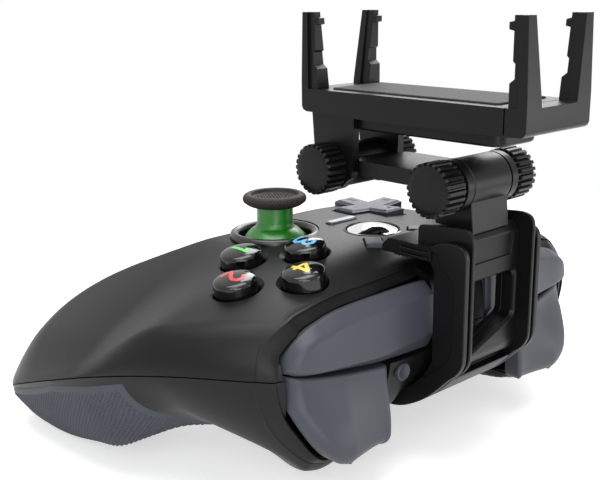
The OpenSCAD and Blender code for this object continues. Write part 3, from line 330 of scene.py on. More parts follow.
def add_node(tree, kind, inputs=None, **settings):
    """A node with its settings; an input is a value or another node's socket."""
    node = tree.nodes.new(kind)
    for name, value in settings.items():
        setattr(node, name, value)
    for name, value in (inputs or {}).items():
        if isinstance(value, bpy.types.NodeSocket):
            tree.links.new(value, node.inputs[name])
        else:
            node.inputs[name].default_value = value
    return node


def moulded(name, dark, light, gloss, grain, relief, specular=0.5, ior=1.5, metal=0.0, patch=14.0):
    """A finish whose colour drifts between two tones in soft patches, with a grain in its gloss and bump."""
    finish = bpy.data.materials.new(name)
    finish.use_nodes = True
    tree = finish.node_tree
    shader = tree.nodes["Principled BSDF"]
    shader.inputs["Metallic"].default_value = metal
    shader.inputs["IOR"].default_value = ior
    shader.inputs["Specular IOR Level"].default_value = specular
    place = add_node(tree, "ShaderNodeTexCoord").outputs["Object"]
    drift = add_node(tree, "ShaderNodeTexNoise",
                     {"Vector": place, "Scale": 1 / (patch * MM), "Detail": 3.0})
    tone = add_node(tree, "ShaderNodeMixRGB",
                    {"Fac": drift.outputs["Fac"], "Color1": linear(dark), "Color2": linear(light)})
    pits = add_node(tree, "ShaderNodeTexNoise",
                    {"Vector": place, "Scale": 1 / (grain * MM), "Detail": 4.0})
    sheen = add_node(tree, "ShaderNodeMapRange",
                     {"Value": pits.outputs["Fac"], "From Min": 0.25, "From Max": 0.75,
                      "To Min": gloss - GLOSS_SPREAD, "To Max": gloss + GLOSS_SPREAD})
    bump = add_node(tree, "ShaderNodeBump",
                    {"Height": pits.outputs["Fac"], "Distance": relief * MM, "Strength": 0.5})
    tree.links.new(tone.outputs["Color"], shader.inputs["Base Color"])
    tree.links.new(sheen.outputs["Result"], shader.inputs["Roughness"])
    tree.links.new(bump.outputs["Normal"], shader.inputs["Normal"])
    return finish


# Moulded ABS with a fine eroded grain: near black, with a wide soft sheen.
shell_abs = moulded("shell_abs", "#0d0d0e", "#121213", 0.4, 0.35, 0.03, specular=0.2)
# The same ABS dyed slate grey, a little smoother, on the buttons that the fingers pull.
slate_abs = moulded("slate_abs", "#3a3c44", "#42444b", 0.4, 0.3, 0.02, specular=0.25)
# Soft-touch elastomer of the handles' inlays: matt, slate grey.
grip_elastomer = moulded("grip_elastomer", "#373a42", "#42454e", 0.6, 0.25, 0.03, specular=0.3)
# Polished black acrylic over a dark base: deep, with sharp reflections.
button_acrylic = moulded("button_acrylic", "#060607", "#0a0a0b", 0.12, 1.2, 0.004, ior=1.49)
# Clear-dyed green polycarbonate of the stick's dome and neck.
stick_polycarbonate = moulded("stick_polycarbonate", "#0f6a0c", "#1a7f14", 0.3, 0.5, 0.01, ior=1.58)
# Dark rubber of the thumb caps: dry and slightly grey with handling.
cap_rubber = moulded("cap_rubber", "#1c1a19", "#262322", 0.72, 0.4, 0.05, specular=0.35)
# Low-friction ring round a stick: black acetal with a burnished face.
ring_acetal = moulded("ring_acetal", "#151516", "#1d1d1f", 0.3, 0.5, 0.01, ior=1.48)
# Chromed plastic: a mirror with a trace of handling.
chrome_plate = moulded("chrome_plate", "#e4e5e7", "#eceded", 0.08, 3.0, 0.002, metal=1.0)
# Nickel paint of the small bar: a soft grey metal sheen.
nickel_paint = moulded("nickel_paint", "#77797d", "#85878b", 0.42, 0.5, 0.01, metal=0.9)
# Bright drawn steel of pins, bolts and springs.
drawn_steel = moulded("drawn_steel", "#b4b6b8", "#c4c5c7", 0.28, 0.6, 0.01, metal=1.0)
# Green solder mask over glass fibre.
solder_mask = moulded("solder_mask", "#0b4a26", "#11612f", 0.35, 0.8, 0.01, patch=3.0)
# Silver laminate of the battery pouch.
cell_laminate = moulded("cell_laminate", "#9a9da2", "#aaadb2", 0.4, 1.5, 0.05, metal=0.7)
# Milky silicone of the button sheet.
keypad_silicone = moulded("keypad_silicone", "#b5b8bb", "#c3c6c8", 0.55, 0.8, 0.02, ior=1.43)
# Black acetal of the inner mechanism.
inner_acetal = moulded("inner_acetal", "#1d1e20", "#26272a", 0.45, 0.5, 0.01, ior=1.48)
# Glass-filled nylon of the clip: black, satin, with a slightly coarser grain than the pad.
clip_nylon = moulded("clip_nylon", "#0b0b0c", "#101011", 0.36, 0.4, 0.03, specular=0.2)
# Rubber sheet under the phone: charcoal and matt.
pad_rubber = moulded("pad_rubber", "#232323", "#2b2b2b", 0.75, 0.5, 0.06, specular=0.3)
# Inks under the button faces: flat, clean colours.
ink_green = moulded("ink_green", "#46b83c", "#52c247", 0.3, 1.0, 0.0, patch=2.0)
ink_red = moulded("ink_red", "#c9252c", "#d8343a", 0.3, 1.0, 0.0, patch=2.0)
ink_blue = moulded("ink_blue", "#4fa3d8", "#62b2e2", 0.3, 1.0, 0.0, patch=2.0)
ink_yellow = moulded("ink_yellow", "#d9b81f", "#e6c832", 0.3, 1.0, 0.0, patch=2.0)
print("finishes:", len(bpy.data.materials))

# %% [markdown]
# ## The pad's body as a formula
#
# The casing is one smooth form, so it is written as a few formulas: a front line, a rear line, a seam
# that drops towards the handles, and the heights of the upper and lower skins above and below it. A
# quarter-round easing near each edge rolls the skins over into the seam.

# %% body formulas
HALF_W = float(high("top_shell")[0])
OUTLINE_W = HALF_W + 0.5
LOBE_R = 16.8
LOBE_X = OUTLINE_W - LOBE_R
TIP_Y = -43.0
ARCH_Y = -27.0
TAIL_Y = float(low("top_shell")[1])
FRONT_REACH = 81.5
CORNER_FULL = 7.2
FACE_Z = 53.0
BELLY_Z = 8.0
CHANNEL_DEPTH = 9.0
CHANNEL_HALF, CHANNEL_EDGE = 19, 3
CHANNEL_Y, CHANNEL_RUN = 6, 14
SEAM_TOP = 33.0
SEAM_Y, SEAM_RUN, SEAM_DROP = 27, 79, 27
SIDE_R = 12
WALL = 2.2
SEAM_GAP = 0.3


def ease(d, r):
    """Quarter round: 0 at an edge, 1 at a distance r inside it."""
    return np.sqrt(1 - (1 - np.clip(d / r, 0, 1)) ** 2)


def step01(t):
    """Smooth step from 0 to 1."""
    t = np.clip(t, 0, 1)
    return t * t * (3 - 2 * t)


def blend(a, a0, a1, r0, r1):
    """A value that goes smoothly from r0 at a0 to r1 at a1."""
    return r0 + (r1 - r0) * step01((a - a0) / (a1 - a0))


def front_y(x):
    """Front line of the pad in plan, with a fuller corner before each handle."""
    line = TIP_Y + FRONT_REACH * np.maximum(0, 1 - (np.abs(x) / OUTLINE_W) ** 3) ** (1 / 2.4)
    return line + CORNER_FULL * np.exp(-((np.abs(x) - 57) / 14) ** 2)


def rear_y(x):
    """Rear line in plan: the round of a handle, and the arch between the handles."""
    a = np.abs(x)
    lobe = TIP_Y + (TAIL_Y - TIP_Y) * np.sqrt(np.maximum(0, 1 - ((a - LOBE_X) / LOBE_R) ** 2))
    arch = ARCH_Y + (TAIL_Y - ARCH_Y) * step01((a - 22) / (LOBE_X - 22))
    return np.where(a > LOBE_X, lobe, arch)


def seam_z(y):
    """Height of the seam, which drops towards the handles."""
    q = np.maximum(0, SEAM_Y - y) / SEAM_RUN
    return SEAM_TOP - SEAM_DROP * q * q / (1 + 0.35 * q * q)


def top_h(x, y):
    """Height of the upper skin before its edges roll over."""
    a = np.abs(x)
    shoulder = 0.2 * (np.sqrt(np.maximum(0, a - 30) ** 2 + 25) - 5) * step01((6 - y) / 26)
    along = np.maximum(0, (a - 40) * 0.575 + (-15 - y) * 0.818)
    fall = blend(a, 30, 50, 0.012, 0.008)
    return FACE_Z - 0.0025 * x * x - shoulder - 0.0034 * along ** 2 - fall * np.maximum(0, y - 14) ** 2


def bulge(x, y, cx, cy, rx, ry):
    """A soft round bump of height 1 at a place on each side."""
    return np.exp(-((np.abs(x) - cx) / rx) ** 2 - ((y - cy) / ry) ** 2)


def bot_h(x, y):
    """Height of the lower skin: handles reach down, and a channel in the middle clears the clip's hook."""
    across = step01((CHANNEL_HALF - np.abs(x)) / CHANNEL_EDGE)
    channel = CHANNEL_DEPTH * across * step01((y - CHANNEL_Y) / CHANNEL_RUN)
    return (BELLY_Z - 7.3 * bulge(x, y, 68, -41, 13, 24) - 0.5 * BELLY_Z * bulge(x, y, 40, 25.5, 8, 8)
            + 0.68 * np.maximum(0, np.abs(x) - 46) * step01((y + 14) / 24) + channel)


def roll_over(x, y, inset, rear_r, front_r):
    """How much of a skin's height is left near the rear, the front and the side, each with its radius."""
    return (ease(y - rear_y(x) - inset, rear_r - inset) * ease(front_y(x) - inset - y, front_r - inset)
            * ease(HALF_W - inset - np.abs(x), SIDE_R - inset))


def top_z(x, y, inset=0.0):
    """The upper skin, rolled over into the seam at the rear, the front and the sides."""
    a, s = np.abs(x), seam_z(y)
    rise = np.maximum(0, top_h(x, y) - inset - s)
    rear_r, front_r = blend(a, 24, 46, 7, 14), blend(a, 44, 64, 3.5, 14)
    return s + rise * roll_over(x, y, inset, rear_r, front_r)


def bot_z(x, y, inset=0.0):
    """The lower skin, rolled over into the seam in the same way."""
    a, s = np.abs(x), seam_z(y)
    drop = np.maximum(0, s - bot_h(x, y) - inset)
    middle_r = np.where(a < 19, blend(a, 16, 19, 11, 22), blend(a, 23, 31, 22, 7))
    front_r = np.where(a < 31, middle_r, blend(a, 46, 62, 7, 14))
    rear_r = blend(a, 20, 46, 10, 14)
    return s - drop * roll_over(x, y, inset, rear_r, front_r)


def skin(height, inset, shift, across=221, along=131):
    """A grid of points on the upper or lower skin, set inward, closer together near the edges."""
    s = np.linspace(-1, 1, across)
    x = (HALF_W - inset) * (0.4 * s + 0.6 * np.sin(s * math.pi / 2))
    t = np.linspace(0, 1, along)
    t = 0.35 * t + 0.65 * (1 - np.cos(math.pi * t)) / 2
    rear, front = rear_y(x) + inset, front_y(x) - inset
    y = rear[:, None] + (front - rear)[:, None] * t[None, :]
    grid_x = np.repeat(x[:, None], along, axis=1)
    return np.stack([grid_x, y, height(grid_x, y, inset) + shift], axis=-1)


print("pad half width mm:", round(HALF_W, 2), "tail at y:", round(TAIL_Y, 2))

# %% [markdown]
# ## The casing
#
# Both halves are skins with a wall. The front of each is opened for a bumper and a trigger, and the top
# is opened for the sticks, the cross pad and the buttons, all with closed cutters. The opening's edge on
# the casing is a crease that the picture shows clearly, so it is given as a list of points.

# %% casing
# Crease round a bumper and trigger, seen from the front: distance out, height and width of the rim band.
CREASE = [(9.6, 49.6, 2.2), (20, 48.8, 2.3), (29, 48.0, 2.4), (36.2, 47.3, 2.4), (43.6, 46.3, 2.6),
          (50.7, 44.7, 2.8), (55.9, 41.5, 3.0), (58.5, 38.2, 3.2), (59.9, 33.0, 3.3), (59.3, 28.0, 3.2),
          (57.0, 21.7, 3.1), (53.3, 16.0, 3.0), (48.3, 10.6, 2.2), (43.2, 7.8, 1.2), (38, 7.0, 0.9),
          (33, 7.5, 0.8), (29, 8.7, 0.8), (25.4, 10.2, 0.8)]
crease = curve_through(CREASE)
OPEN_INNER_X = 25.0
OPEN_MID_Z = 29.7
STICKS = {"right": middle("right_stick_ring"), "left": middle("left_stick_ring")}
FACE_LEAN = math.radians(10.5)
FACE_AT = np.array([37.2, 9.0, float(top_h(np.float64(37.2), np.float64(9.0))) - 0.1])
FACE_PITCH = 11.65
FACE_SPOTS = {1: (0, -FACE_PITCH), 2: (FACE_PITCH, 0), 3: (-FACE_PITCH, 0), 4: (0, FACE_PITCH)}
FACE_TURN = np.array([[math.cos(FACE_LEAN), 0, math.sin(FACE_LEAN)], [0, 1, 0],
                      [-math.sin(FACE_LEAN), 0, math.cos(FACE_LEAN)]])
DPAD_ARM = 10.6
DPAD_W = 7.2


def on_face_group(shape, number):
    """Moves points from a face button's own frame to its place on the leaning group."""
    points, faces = shape
    u, v = FACE_SPOTS[number]
    return [FACE_TURN @ (np.array(p, float) + (u, v, 0)) + FACE_AT for p in points], faces


def cross_outline(arm, width, centre):
    w = width / 2
    steps = [(arm, -w), (arm, w), (w, w), (w, arm), (-w, arm), (-w, w), (-arm, w), (-arm, -w), (-w, -w),
             (-w, -arm), (w, -arm), (w, -w)]
    return [(centre[0] + a, centre[1] + b) for a, b in steps]


def front_cutter(sign):
    """Opening for a bumper and its trigger, along the crease."""
    outline = [tuple(p[:2]) for p in crease] + [(OPEN_INNER_X, OPEN_MID_Z), (CREASE[0][0], OPEN_MID_Z)]
    return new_piece("front_cutter", sided(extruded(outline, "y", 18, 60), sign), shell_abs)


def post(radius, centre, start, end, axis="z", turns=72):
    return turned([(0, start), (radius, start), (radius, end), (0, end)], centre, axis, turns)


def hole(shape):
    return new_piece("hole", shape, shell_abs)


def slanted_key(node, half_w, half_l):
    """Corners of one of the two small keys, which lean outward towards the front."""
    spot = middle(node)
    turn = -KEY_SLANT if spot[0] > 0 else KEY_SLANT
    c, s = math.cos(turn), math.sin(turn)
    return [(spot[0] + a * c - b * s, spot[1] + a * s + b * c)
            for a, b in rectangle(-half_w, -half_l, half_w, half_l)]


KEY_SLANT = math.radians(40)
KEYS = ("menu_button", "view_button")
CUT_LOW, CUT_HIGH = 40, 70
STICK_HOLE_R = 12.0
HOME_HOLE_R = 7.4
FACE_HOLE = [(0, -14), (5.8, -14), (5.8, -0.9), (6.5, -0.25), (7.2, 0.5), (7.2, 8), (0, 8)]
dpad_mid = middle("dpad")
home_mid = middle("home_button")
share_mid = middle("share_button")
dpad_hole = cross_outline(DPAD_ARM + 0.9, DPAD_W + 1.8, dpad_mid)
share_hole = fillet(rectangle(-5.4, share_mid[1] - 1.6, 5.4, share_mid[1] + 1.6), 1.2)
port_hole = fillet(rectangle(-4.8, 37.3, 4.8, 41.1), 1.8)
top_skins = [skin(top_z, inset, SEAM_GAP / 2) for inset in (0, WALL)]
top_case = new_piece("top_case", grid_solid(*top_skins), shell_abs)
openings = [front_cutter(1), front_cutter(-1)]
openings += [hole(post(STICK_HOLE_R, (ring[0], ring[1], 0), 30, 80)) for ring in STICKS.values()]
openings += [hole(on_face_group(turned(FACE_HOLE, (0, 0, 0)), number)) for number in FACE_SPOTS]
openings.append(hole(extruded(dpad_hole, "z", CUT_LOW, CUT_HIGH)))
openings.append(hole(post(HOME_HOLE_R, (home_mid[0], home_mid[1], 0), CUT_LOW, CUT_HIGH)))
openings.append(hole(extruded(share_hole, "z", CUT_LOW, CUT_HIGH)))
openings += [hole(extruded(fillet(slanted_key(key, 2.6, 4.0), 0.8), "z", CUT_LOW, CUT_HIGH)) for key in KEYS]
openings.append(hole(extruded(port_hole, "y", 33, 50)))
cut(top_case, openings)
seat(top_case, "pad", "shell", "top_shell")

SCREW_SUNK = 6
CASE_SPOTS = [(49, -28), (-49, -28), (30, -22), (-30, -22)]
case_heads = [(x, y, float(bot_z(np.float64(x), np.float64(y))) + SCREW_SUNK) for x, y in CASE_SPOTS]
bottom_skins = [skin(bot_z, inset, -SEAM_GAP / 2) for inset in (0, WALL)]
bottom_case = new_piece("bottom_case", grid_solid(*bottom_skins), shell_abs)
openings = [front_cutter(1), front_cutter(-1)]
openings += [hole(post(2.5, (x, y, 0), -5, z)) for x, y, z in case_heads]
cut(bottom_case, openings)
seat(bottom_case, "pad", "shell", "bottom_shell")
print("casing faces:", len(top_case.data.polygons), len(bottom_case.data.polygons))

# %% [markdown]
# ## The rim bands
#
# Between the crease and the moving bumper the casing turns in with a narrow, slanted band. It is a loft
# along the crease: at each point the profile starts under the casing's edge, runs forward and inward to
# a lip, and returns inside. It is split at the seam, as the casing is.

# %% edges of the bumpers and triggers
BUMPER_X0, BUMPER_X1 = 10.2, 54.5
BUMPER_Z0, BUMPER_Z1 = 30.3, 44.6
TRIGGER_X0, TRIGGER_X1 = 26.0, 53.4
TRIGGER_Z0, TRIGGER_Z1 = 9.8, 29.6
TRIGGER_ROUND = 3.2
TRIGGER_FLARE = 5.6
BUMPER_RISE, BUMPER_FALL = 2.5, 7.6


def lift(x):
    """Rise of the line between a bumper and its trigger towards the outside."""
    return 3.5 * np.maximum(0, (x - TRIGGER_X0) / (BUMPER_X1 - TRIGGER_X0)) ** 1.6


def bumper_top(x):
    """Upper edge of a bumper: a little higher near the middle, falling at the outer end."""
    rise = BUMPER_RISE * max(0.0, 1 - ((x - BUMPER_X0) / 34) ** 2)
    return BUMPER_Z1 + rise - BUMPER_FALL * max(0.0, (x - 24) / (BUMPER_X1 - 24)) ** 6


def trigger_outer(z):
    """Outer edge of a trigger, which curves in towards its foot."""
    return np.minimum(TRIGGER_X1, 40 + 13.4 * np.sqrt(np.maximum(0, z - TRIGGER_Z0) / 13.5))


def trigger_flare(x, z):
    """How far a trigger's face leans forward: more towards its foot and its outer side."""
    return TRIGGER_FLARE * (0.3 + 0.7 * step01((x - TRIGGER_X0) / 20)) * step01((TRIGGER_Z1 - z) / 15.5)


print("bumper top at both ends:", round(bumper_top(BUMPER_X0), 2), round(bumper_top(BUMPER_X1), 2))

# %% rim bands
BAND_FORWARD = 0.86
BAND_DEPTH = 4.6
BAND_CLEARANCE = 0.35
SEAM_SAMPLE = 64
END_SAMPLES = 12


def surface_y(x, z):
    """How far forward the casing stands at a distance out and a height, found by halving."""
    upper = z > SEAM_TOP - 0.5
    near, far = 10.0, float(front_y(x))
    for _ in range(40):
        y = np.float64((near + far) / 2)
        inside = top_z(x, y) > z if upper else bot_z(x, y) < z
        near, far = (y, far) if inside else (near, y)
    return float(near)


def moving_edge():
    """Upper and outer edge of the bumper and of the trigger below it, seen from the front."""
    x = np.linspace(BUMPER_X0, BUMPER_X1, 120)
    z = np.linspace(TRIGGER_Z0, TRIGGER_Z1, 80)
    end = np.linspace(float(lift(BUMPER_X1)) + BUMPER_Z0, bumper_top(BUMPER_X1), END_SAMPLES)
    return np.concatenate([np.stack([x, [bumper_top(v) for v in x]], 1),
                           np.stack([np.full(END_SAMPLES, BUMPER_X1), end], 1),
                           np.stack([trigger_outer(z), z], 1)])


edge_points = moving_edge()


def band_ring(k):
    """The band's profile at one sample of the crease: a slanted face, a groove and a narrow second step."""
    x, z, width = crease[k]
    ahead = crease[min(k + 1, len(crease) - 1)] - crease[max(k - 1, 0)]
    along = ahead[:2] / np.linalg.norm(ahead[:2])
    inward = np.array([along[1], -along[0]])
    y = surface_y(x, z)
    forward = BAND_FORWARD * width
    lip = np.array([x, z]) + inward * (width + 0.2)
    room = float(np.sqrt(((edge_points - lip) ** 2).sum(1)).min())
    step = min(2.2, max(BAND_CLEARANCE, room - BAND_CLEARANCE))
    step *= min(1.0, max(0.2, (len(crease) - k) / 24))
    steps = [(-0.5, -0.5), (0.0, -0.03), (0.45 * width, 0.55 * forward), (width - 0.25, forward - 0.05),
             (width, forward - 0.02), (width + 0.12, forward - 0.25), (width + 0.2, forward - 0.8),
             (width + 0.32, forward - 0.4), (width + 0.45, forward - 0.3),
             (width + step, forward + 0.1 * step), (width + step + 0.15, forward - 0.3),
             (width + step + 0.2, forward - BAND_DEPTH), (-0.5, -BAND_DEPTH)]
    return [(x + inward[0] * n, y + d, z + inward[1] * n) for n, d in steps]


def band_shape(first, last, nudge):
    """The band between two samples; the nudge leaves the seam's gap open at one end."""
    rings = np.array([band_ring(k) for k in range(first, last + 1)])
    rings[0 if nudge < 0 else -1, :, 2] += nudge
    return loft(rings)


for side_name, sign in SIDES:
    for part_name, first, last, nudge in (("upper", 0, SEAM_SAMPLE, SEAM_GAP / 2),
                                          ("lower", SEAM_SAMPLE, len(crease) - 1, -SEAM_GAP / 2)):
        shape = band_shape(first, last, nudge)
        band = new_piece(f"{side_name}_rim_band_{part_name}", sided(shape, sign), shell_abs, 50)
        seat(band, "pad", "shell")
print("rim bands:", 4, "samples:", len(crease))

# %% [markdown]
# ## Bumpers and triggers
#
# A bumper is a long slate bar that follows the front line: a flat top, a crisp ridge, a tall face and a
# slanted underside that grows towards the middle. A trigger is a curved blade under it: it flares forward
# at the foot, has one upright crease, and a broad round along its outer and lower edge.

# %% bumpers
# Pin in plan, and the height of the arm that reaches it.
BUMPER_PIN = (14.0, 30.0)
BUMPER_ARM_Z = (38.6, 41.6)


def bumper_ring(s):
    """Side profile of a bumper at a share of its length, rounded off at both ends."""
    x = BUMPER_X0 + (BUMPER_X1 - BUMPER_X0) * s
    nose = 1 - float(ease(BUMPER_X1 - x, 3.4))
    root = 1 - float(ease(x - BUMPER_X0, 0.9))
    f = float(front_y(x)) - 2.2 * nose - 0.7 * root
    top = bumper_top(x) - 1.2 * nose - 0.5 * root
    foot = BUMPER_Z0 + float(lift(x)) + 0.6 * nose + 0.5 * root
    bevel = 0.9 + 3.6 * (1 - s) ** 1.7
    rear = float(front_y(x)) - 4.6
    ridge = 2.8 - 1.6 * float(step01((s - 0.72) / 0.28))
    corners = [(rear, foot), (rear, top - 0.4), (f - 2.9, top), (f + 0.4, top - ridge),
               (f + 0.75, min(foot + bevel, top - ridge - 0.6)), (f - 1.5, foot)]
    radii = [0.2, 0.5, 0.6, 0.7 + 2.0 * s * s, 0.8, 0.5]
    return [(x, y, z) for y, z in fillet(corners, radii)]


def hub(centre, axis, outer, inner, start, end):
    """A short tube round a pin."""
    return turned([(inner, start), (outer, start), (outer, end), (inner, end)], centre, axis, 48, closed=True)


s_steps = 1 - (1 - np.linspace(0, 1, 72)) ** 1.5
bumper_shape = loft(np.array([bumper_ring(s) for s in s_steps]))
arm_shape = extruded(rectangle(11.4, 32.6, 16.6, 35.0), "z", *BUMPER_ARM_Z)
pin_shape = hub((BUMPER_PIN[0], BUMPER_PIN[1], 0), "z", 2.9, 1.55, *BUMPER_ARM_Z)
for side_name, sign in SIDES:
    parts = [new_piece("bumper_part", sided(shape, sign), slate_abs, 40)
             for shape in (bumper_shape, arm_shape, pin_shape)]
    seat(join(f"{side_name}_bumper_bar", parts), f"{side_name}_bumper", "slate", f"{side_name}_bumper")
print("bumper faces:", len(bumper_shape[1]))

# %% triggers
# Pin in side view, and the distance out of the arm that reaches it.
TRIGGER_PIN = (25.5, 26.0)
TRIGGER_ARM_X = (32.4, 37.4)
FOOT_SAMPLES = 60


def trigger_inner(z):
    """Inner edge of a trigger, rounded at the foot."""
    return TRIGGER_X0 + 3.0 * (1 - ease(z - TRIGGER_Z0, 3.0))


def trigger_grids(rows=72, columns=52):
    """Grids of points on a trigger's face and on its rear."""
    height = 0.5 - 0.5 * np.cos(math.pi * np.linspace(0, 1, rows))
    z = TRIGGER_Z0 + (TRIGGER_Z1 - TRIGGER_Z0) * height
    t = 0.5 - 0.5 * np.cos(math.pi * np.linspace(0, 1, columns))
    x = trigger_inner(z)[:, None] + (trigger_outer(z) - trigger_inner(z))[:, None] * t[None, :]
    z = np.repeat(z[:, None], columns, axis=1)
    edge_z = np.linspace(TRIGGER_Z0, TRIGGER_Z1, 240)
    foot_x = np.linspace(29.0, 40.0, FOOT_SAMPLES)
    edge = np.concatenate([np.stack([trigger_outer(edge_z), edge_z], 1),
                           np.stack([foot_x, np.full(FOOT_SAMPLES, TRIGGER_Z0)], 1)])
    distance = np.sqrt(((np.stack([x, z], -1)[:, :, None, :] - edge) ** 2).sum(-1)).min(-1)
    face = front_y(x) + 0.3 + trigger_flare(x, z)
    face -= 0.14 * np.maximum(0, x - 38.5 - 0.12 * (TRIGGER_Z1 - z))
    face -= TRIGGER_ROUND * (1 - ease(distance, TRIGGER_ROUND))
    face -= 0.9 * (1 - ease(x - trigger_inner(z), 1.6)) + 0.8 * (1 - ease(TRIGGER_Z1 - z, 0.8))
    rear = np.minimum(front_y(x) - 3.8 + 0.55 * trigger_flare(x, z), face - 0.3)
    z = z + lift(x) * (height ** 2)[:, None]
    return np.stack([x, face, z], -1), np.stack([x, rear, z], -1)


trigger_shape = grid_solid(*trigger_grids())
arm_shape = extruded(rectangle(27.2, 23.6, 32.4, 28.4), "x", *TRIGGER_ARM_X)
pin_shape = hub((0, TRIGGER_PIN[0], TRIGGER_PIN[1]), "x", 2.4, 1.05, *TRIGGER_ARM_X)
for side_name, sign in SIDES:
    parts = [new_piece("trigger_part", sided(shape, sign), slate_abs, 40)
             for shape in (trigger_shape, arm_shape, pin_shape)]
    seat(join(f"{side_name}_trigger_blade", parts), f"{side_name}_trigger", "slate", f"{side_name}_trigger")
print("trigger faces:", len(trigger_shape[1]))

# %% [markdown]
# ## Repeats with Geometry Nodes
#
# Two small trees place what repeats. One sets a stud on every point of a carrier mesh, turned to face
# along the point's own direction; the other sets a ring of teeth round an axis. Both end in real mesh
# with a material, so that the piece can be exported.

# %% geometry node trees


def tree_with(name, sizes):
    """An empty geometry tree with named inputs, and its input and output nodes."""
    tree = bpy.data.node_groups.new(name, "GeometryNodeTree")
    tree.interface.new_socket("Geometry", in_out="INPUT", socket_type="NodeSocketGeometry")
    for label, kind in sizes.items():
        tree.interface.new_socket(label, in_out="INPUT", socket_type=kind)
    tree.interface.new_socket("Geometry", in_out="OUTPUT", socket_type="NodeSocketGeometry")
    return tree, add_node(tree, "NodeGroupInput").outputs, add_node(tree, "NodeGroupOutput")


def finish_tree(tree, given, result, shape):
    """Ends a tree: sets the material on real mesh and hands it out."""
    painted = add_node(tree, "GeometryNodeSetMaterial", {"Geometry": shape, "Material": given["Finish"]})
    tree.links.new(painted.outputs["Geometry"], result.inputs["Geometry"])
    return tree


def stud_tree():
    """A stud on every point, turned to the point's facing."""
    tree, given, result = tree_with("studs", {"Stud": "NodeSocketObject", "Finish": "NodeSocketMaterial",
                                              "Size": "NodeSocketFloat"})
    stud = add_node(tree, "GeometryNodeObjectInfo", {"Object": given["Stud"]})
    facing = add_node(tree, "GeometryNodeInputNamedAttribute", {"Name": "facing"},
                      data_type="FLOAT_VECTOR")
    turn = add_node(tree, "FunctionNodeAlignRotationToVector", {"Vector": facing.outputs["Attribute"]},
                    axis="Z")
    placed = add_node(tree, "GeometryNodeInstanceOnPoints",
                      {"Points": given["Geometry"], "Instance": stud.outputs["Geometry"],
                       "Rotation": turn.outputs["Rotation"], "Scale": given["Size"]})
    real = add_node(tree, "GeometryNodeRealizeInstances", {"Geometry": placed.outputs["Instances"]})
    return finish_tree(tree, given, result, real.outputs["Geometry"])


def teeth_tree():
    """A ring of teeth round the z axis, joined to the mesh that the tree is given."""
    tree, given, result = tree_with("teeth", {"Tooth": "NodeSocketObject", "Finish": "NodeSocketMaterial",
                                              "Count": "NodeSocketInt", "Radius": "NodeSocketFloat"})
    ring = add_node(tree, "GeometryNodeMeshCircle", {"Vertices": given["Count"], "Radius": given["Radius"]})
    index = add_node(tree, "GeometryNodeInputIndex")
    part = add_node(tree, "ShaderNodeMath", {0: index.outputs[0], 1: given["Count"]}, operation="DIVIDE")
    angle = add_node(tree, "ShaderNodeMath", {0: part.outputs[0], 1: 2 * math.pi}, operation="MULTIPLY")
    euler = add_node(tree, "ShaderNodeCombineXYZ", {"Z": angle.outputs[0]})
    turn = add_node(tree, "FunctionNodeEulerToRotation", {"Euler": euler.outputs[0]})
    tooth = add_node(tree, "GeometryNodeObjectInfo", {"Object": given["Tooth"]})
    placed = add_node(tree, "GeometryNodeInstanceOnPoints",
                      {"Points": ring.outputs["Mesh"], "Instance": tooth.outputs["Geometry"],
                       "Rotation": turn.outputs["Rotation"]})
    real = add_node(tree, "GeometryNodeRealizeInstances", {"Geometry": placed.outputs["Instances"]})
    both = add_node(tree, "GeometryNodeJoinGeometry", {"Geometry": given["Geometry"]})
    tree.links.new(real.outputs["Geometry"], both.inputs["Geometry"])
    return finish_tree(tree, given, result, both.outputs["Geometry"])


STUDS = stud_tree()
TEETH = teeth_tree()


def grow(piece, tree, **sizes):
    """Runs a tree on a piece with its named inputs, and keeps the result as the piece's mesh."""
    step = piece.modifiers.new(tree.name, "NODES")
    step.node_group = tree
    for item in tree.interface.items_tree:
        if item.in_out == "INPUT" and item.name in sizes:
            step[item.identifier] = sizes[item.name]
    return settle(piece)


def carrier(name, spots, directions):
    """A mesh of loose points in millimetres, each with the way it faces."""
    mesh = bpy.data.meshes.new(name)
    mesh.from_pydata([tuple(float(c) * MM for c in p) for p in spots], [], [])
    facing = mesh.attributes.new("facing", "FLOAT_VECTOR", "POINT")
    facing.data.foreach_set("vector", np.array(directions, np.float32).ravel())
    piece = bpy.data.objects.new(name, mesh)
    scene.collection.objects.link(piece)
    return piece


print("trees:", STUDS.name, TEETH.name)

# %% [markdown]
# ## Grip inlays
#
# Each handle has a soft inlay under the seam, with rows of small raised points for the fingers. The inlay
# follows the lower skin: for each place along the handle, its lines run down from the seam by length.

# %% grip inlays
GRIP_TAIL_Y = -60.5
GRIP_FRONT_Y = -1.0
GRIP_LEAN = 4.0
GRIP_TOP = 1.0
GRIP_DOWN = 30.0
GRIP_T = 0.6
GRIP_ROOT = 0.4
DOT_ROWS = 46
DOT_COLUMNS = 24
DOT_BORDER = 3
DOT_SUNK = 0.03
DOT_PROFILE = [(0.42, 0), (0.3, 0.2), (0, 0.26)]


def outer_x(y):
    """How far out the pad's outline reaches at a place along the handle."""
    places = np.linspace(OUTLINE_W, 54, 400)
    ahead = np.interp(y, front_y(places), places)
    lobe = LOBE_X + LOBE_R * np.sqrt(np.maximum(0, 1 - ((y - TIP_Y) / (TAIL_Y - TIP_Y)) ** 2))
    return np.minimum(np.where(y > TIP_Y, ahead, lobe), HALF_W)


def down_the_skin(y, lengths):
    """Points on the lower skin at given lengths down from the seam, at one place along the handle."""
    reach = float(outer_x(y))
    x = reach - 0.02 - 34 * (1 - np.cos(np.linspace(0, math.pi / 2, 260))) ** 1.4
    z = bot_z(x, np.full_like(x, y))
    run = np.concatenate([[0], np.cumsum(np.hypot(np.diff(x), np.diff(z)))])
    return np.stack([np.interp(lengths, run, x), np.full_like(lengths, y), np.interp(lengths, run, z)], -1)


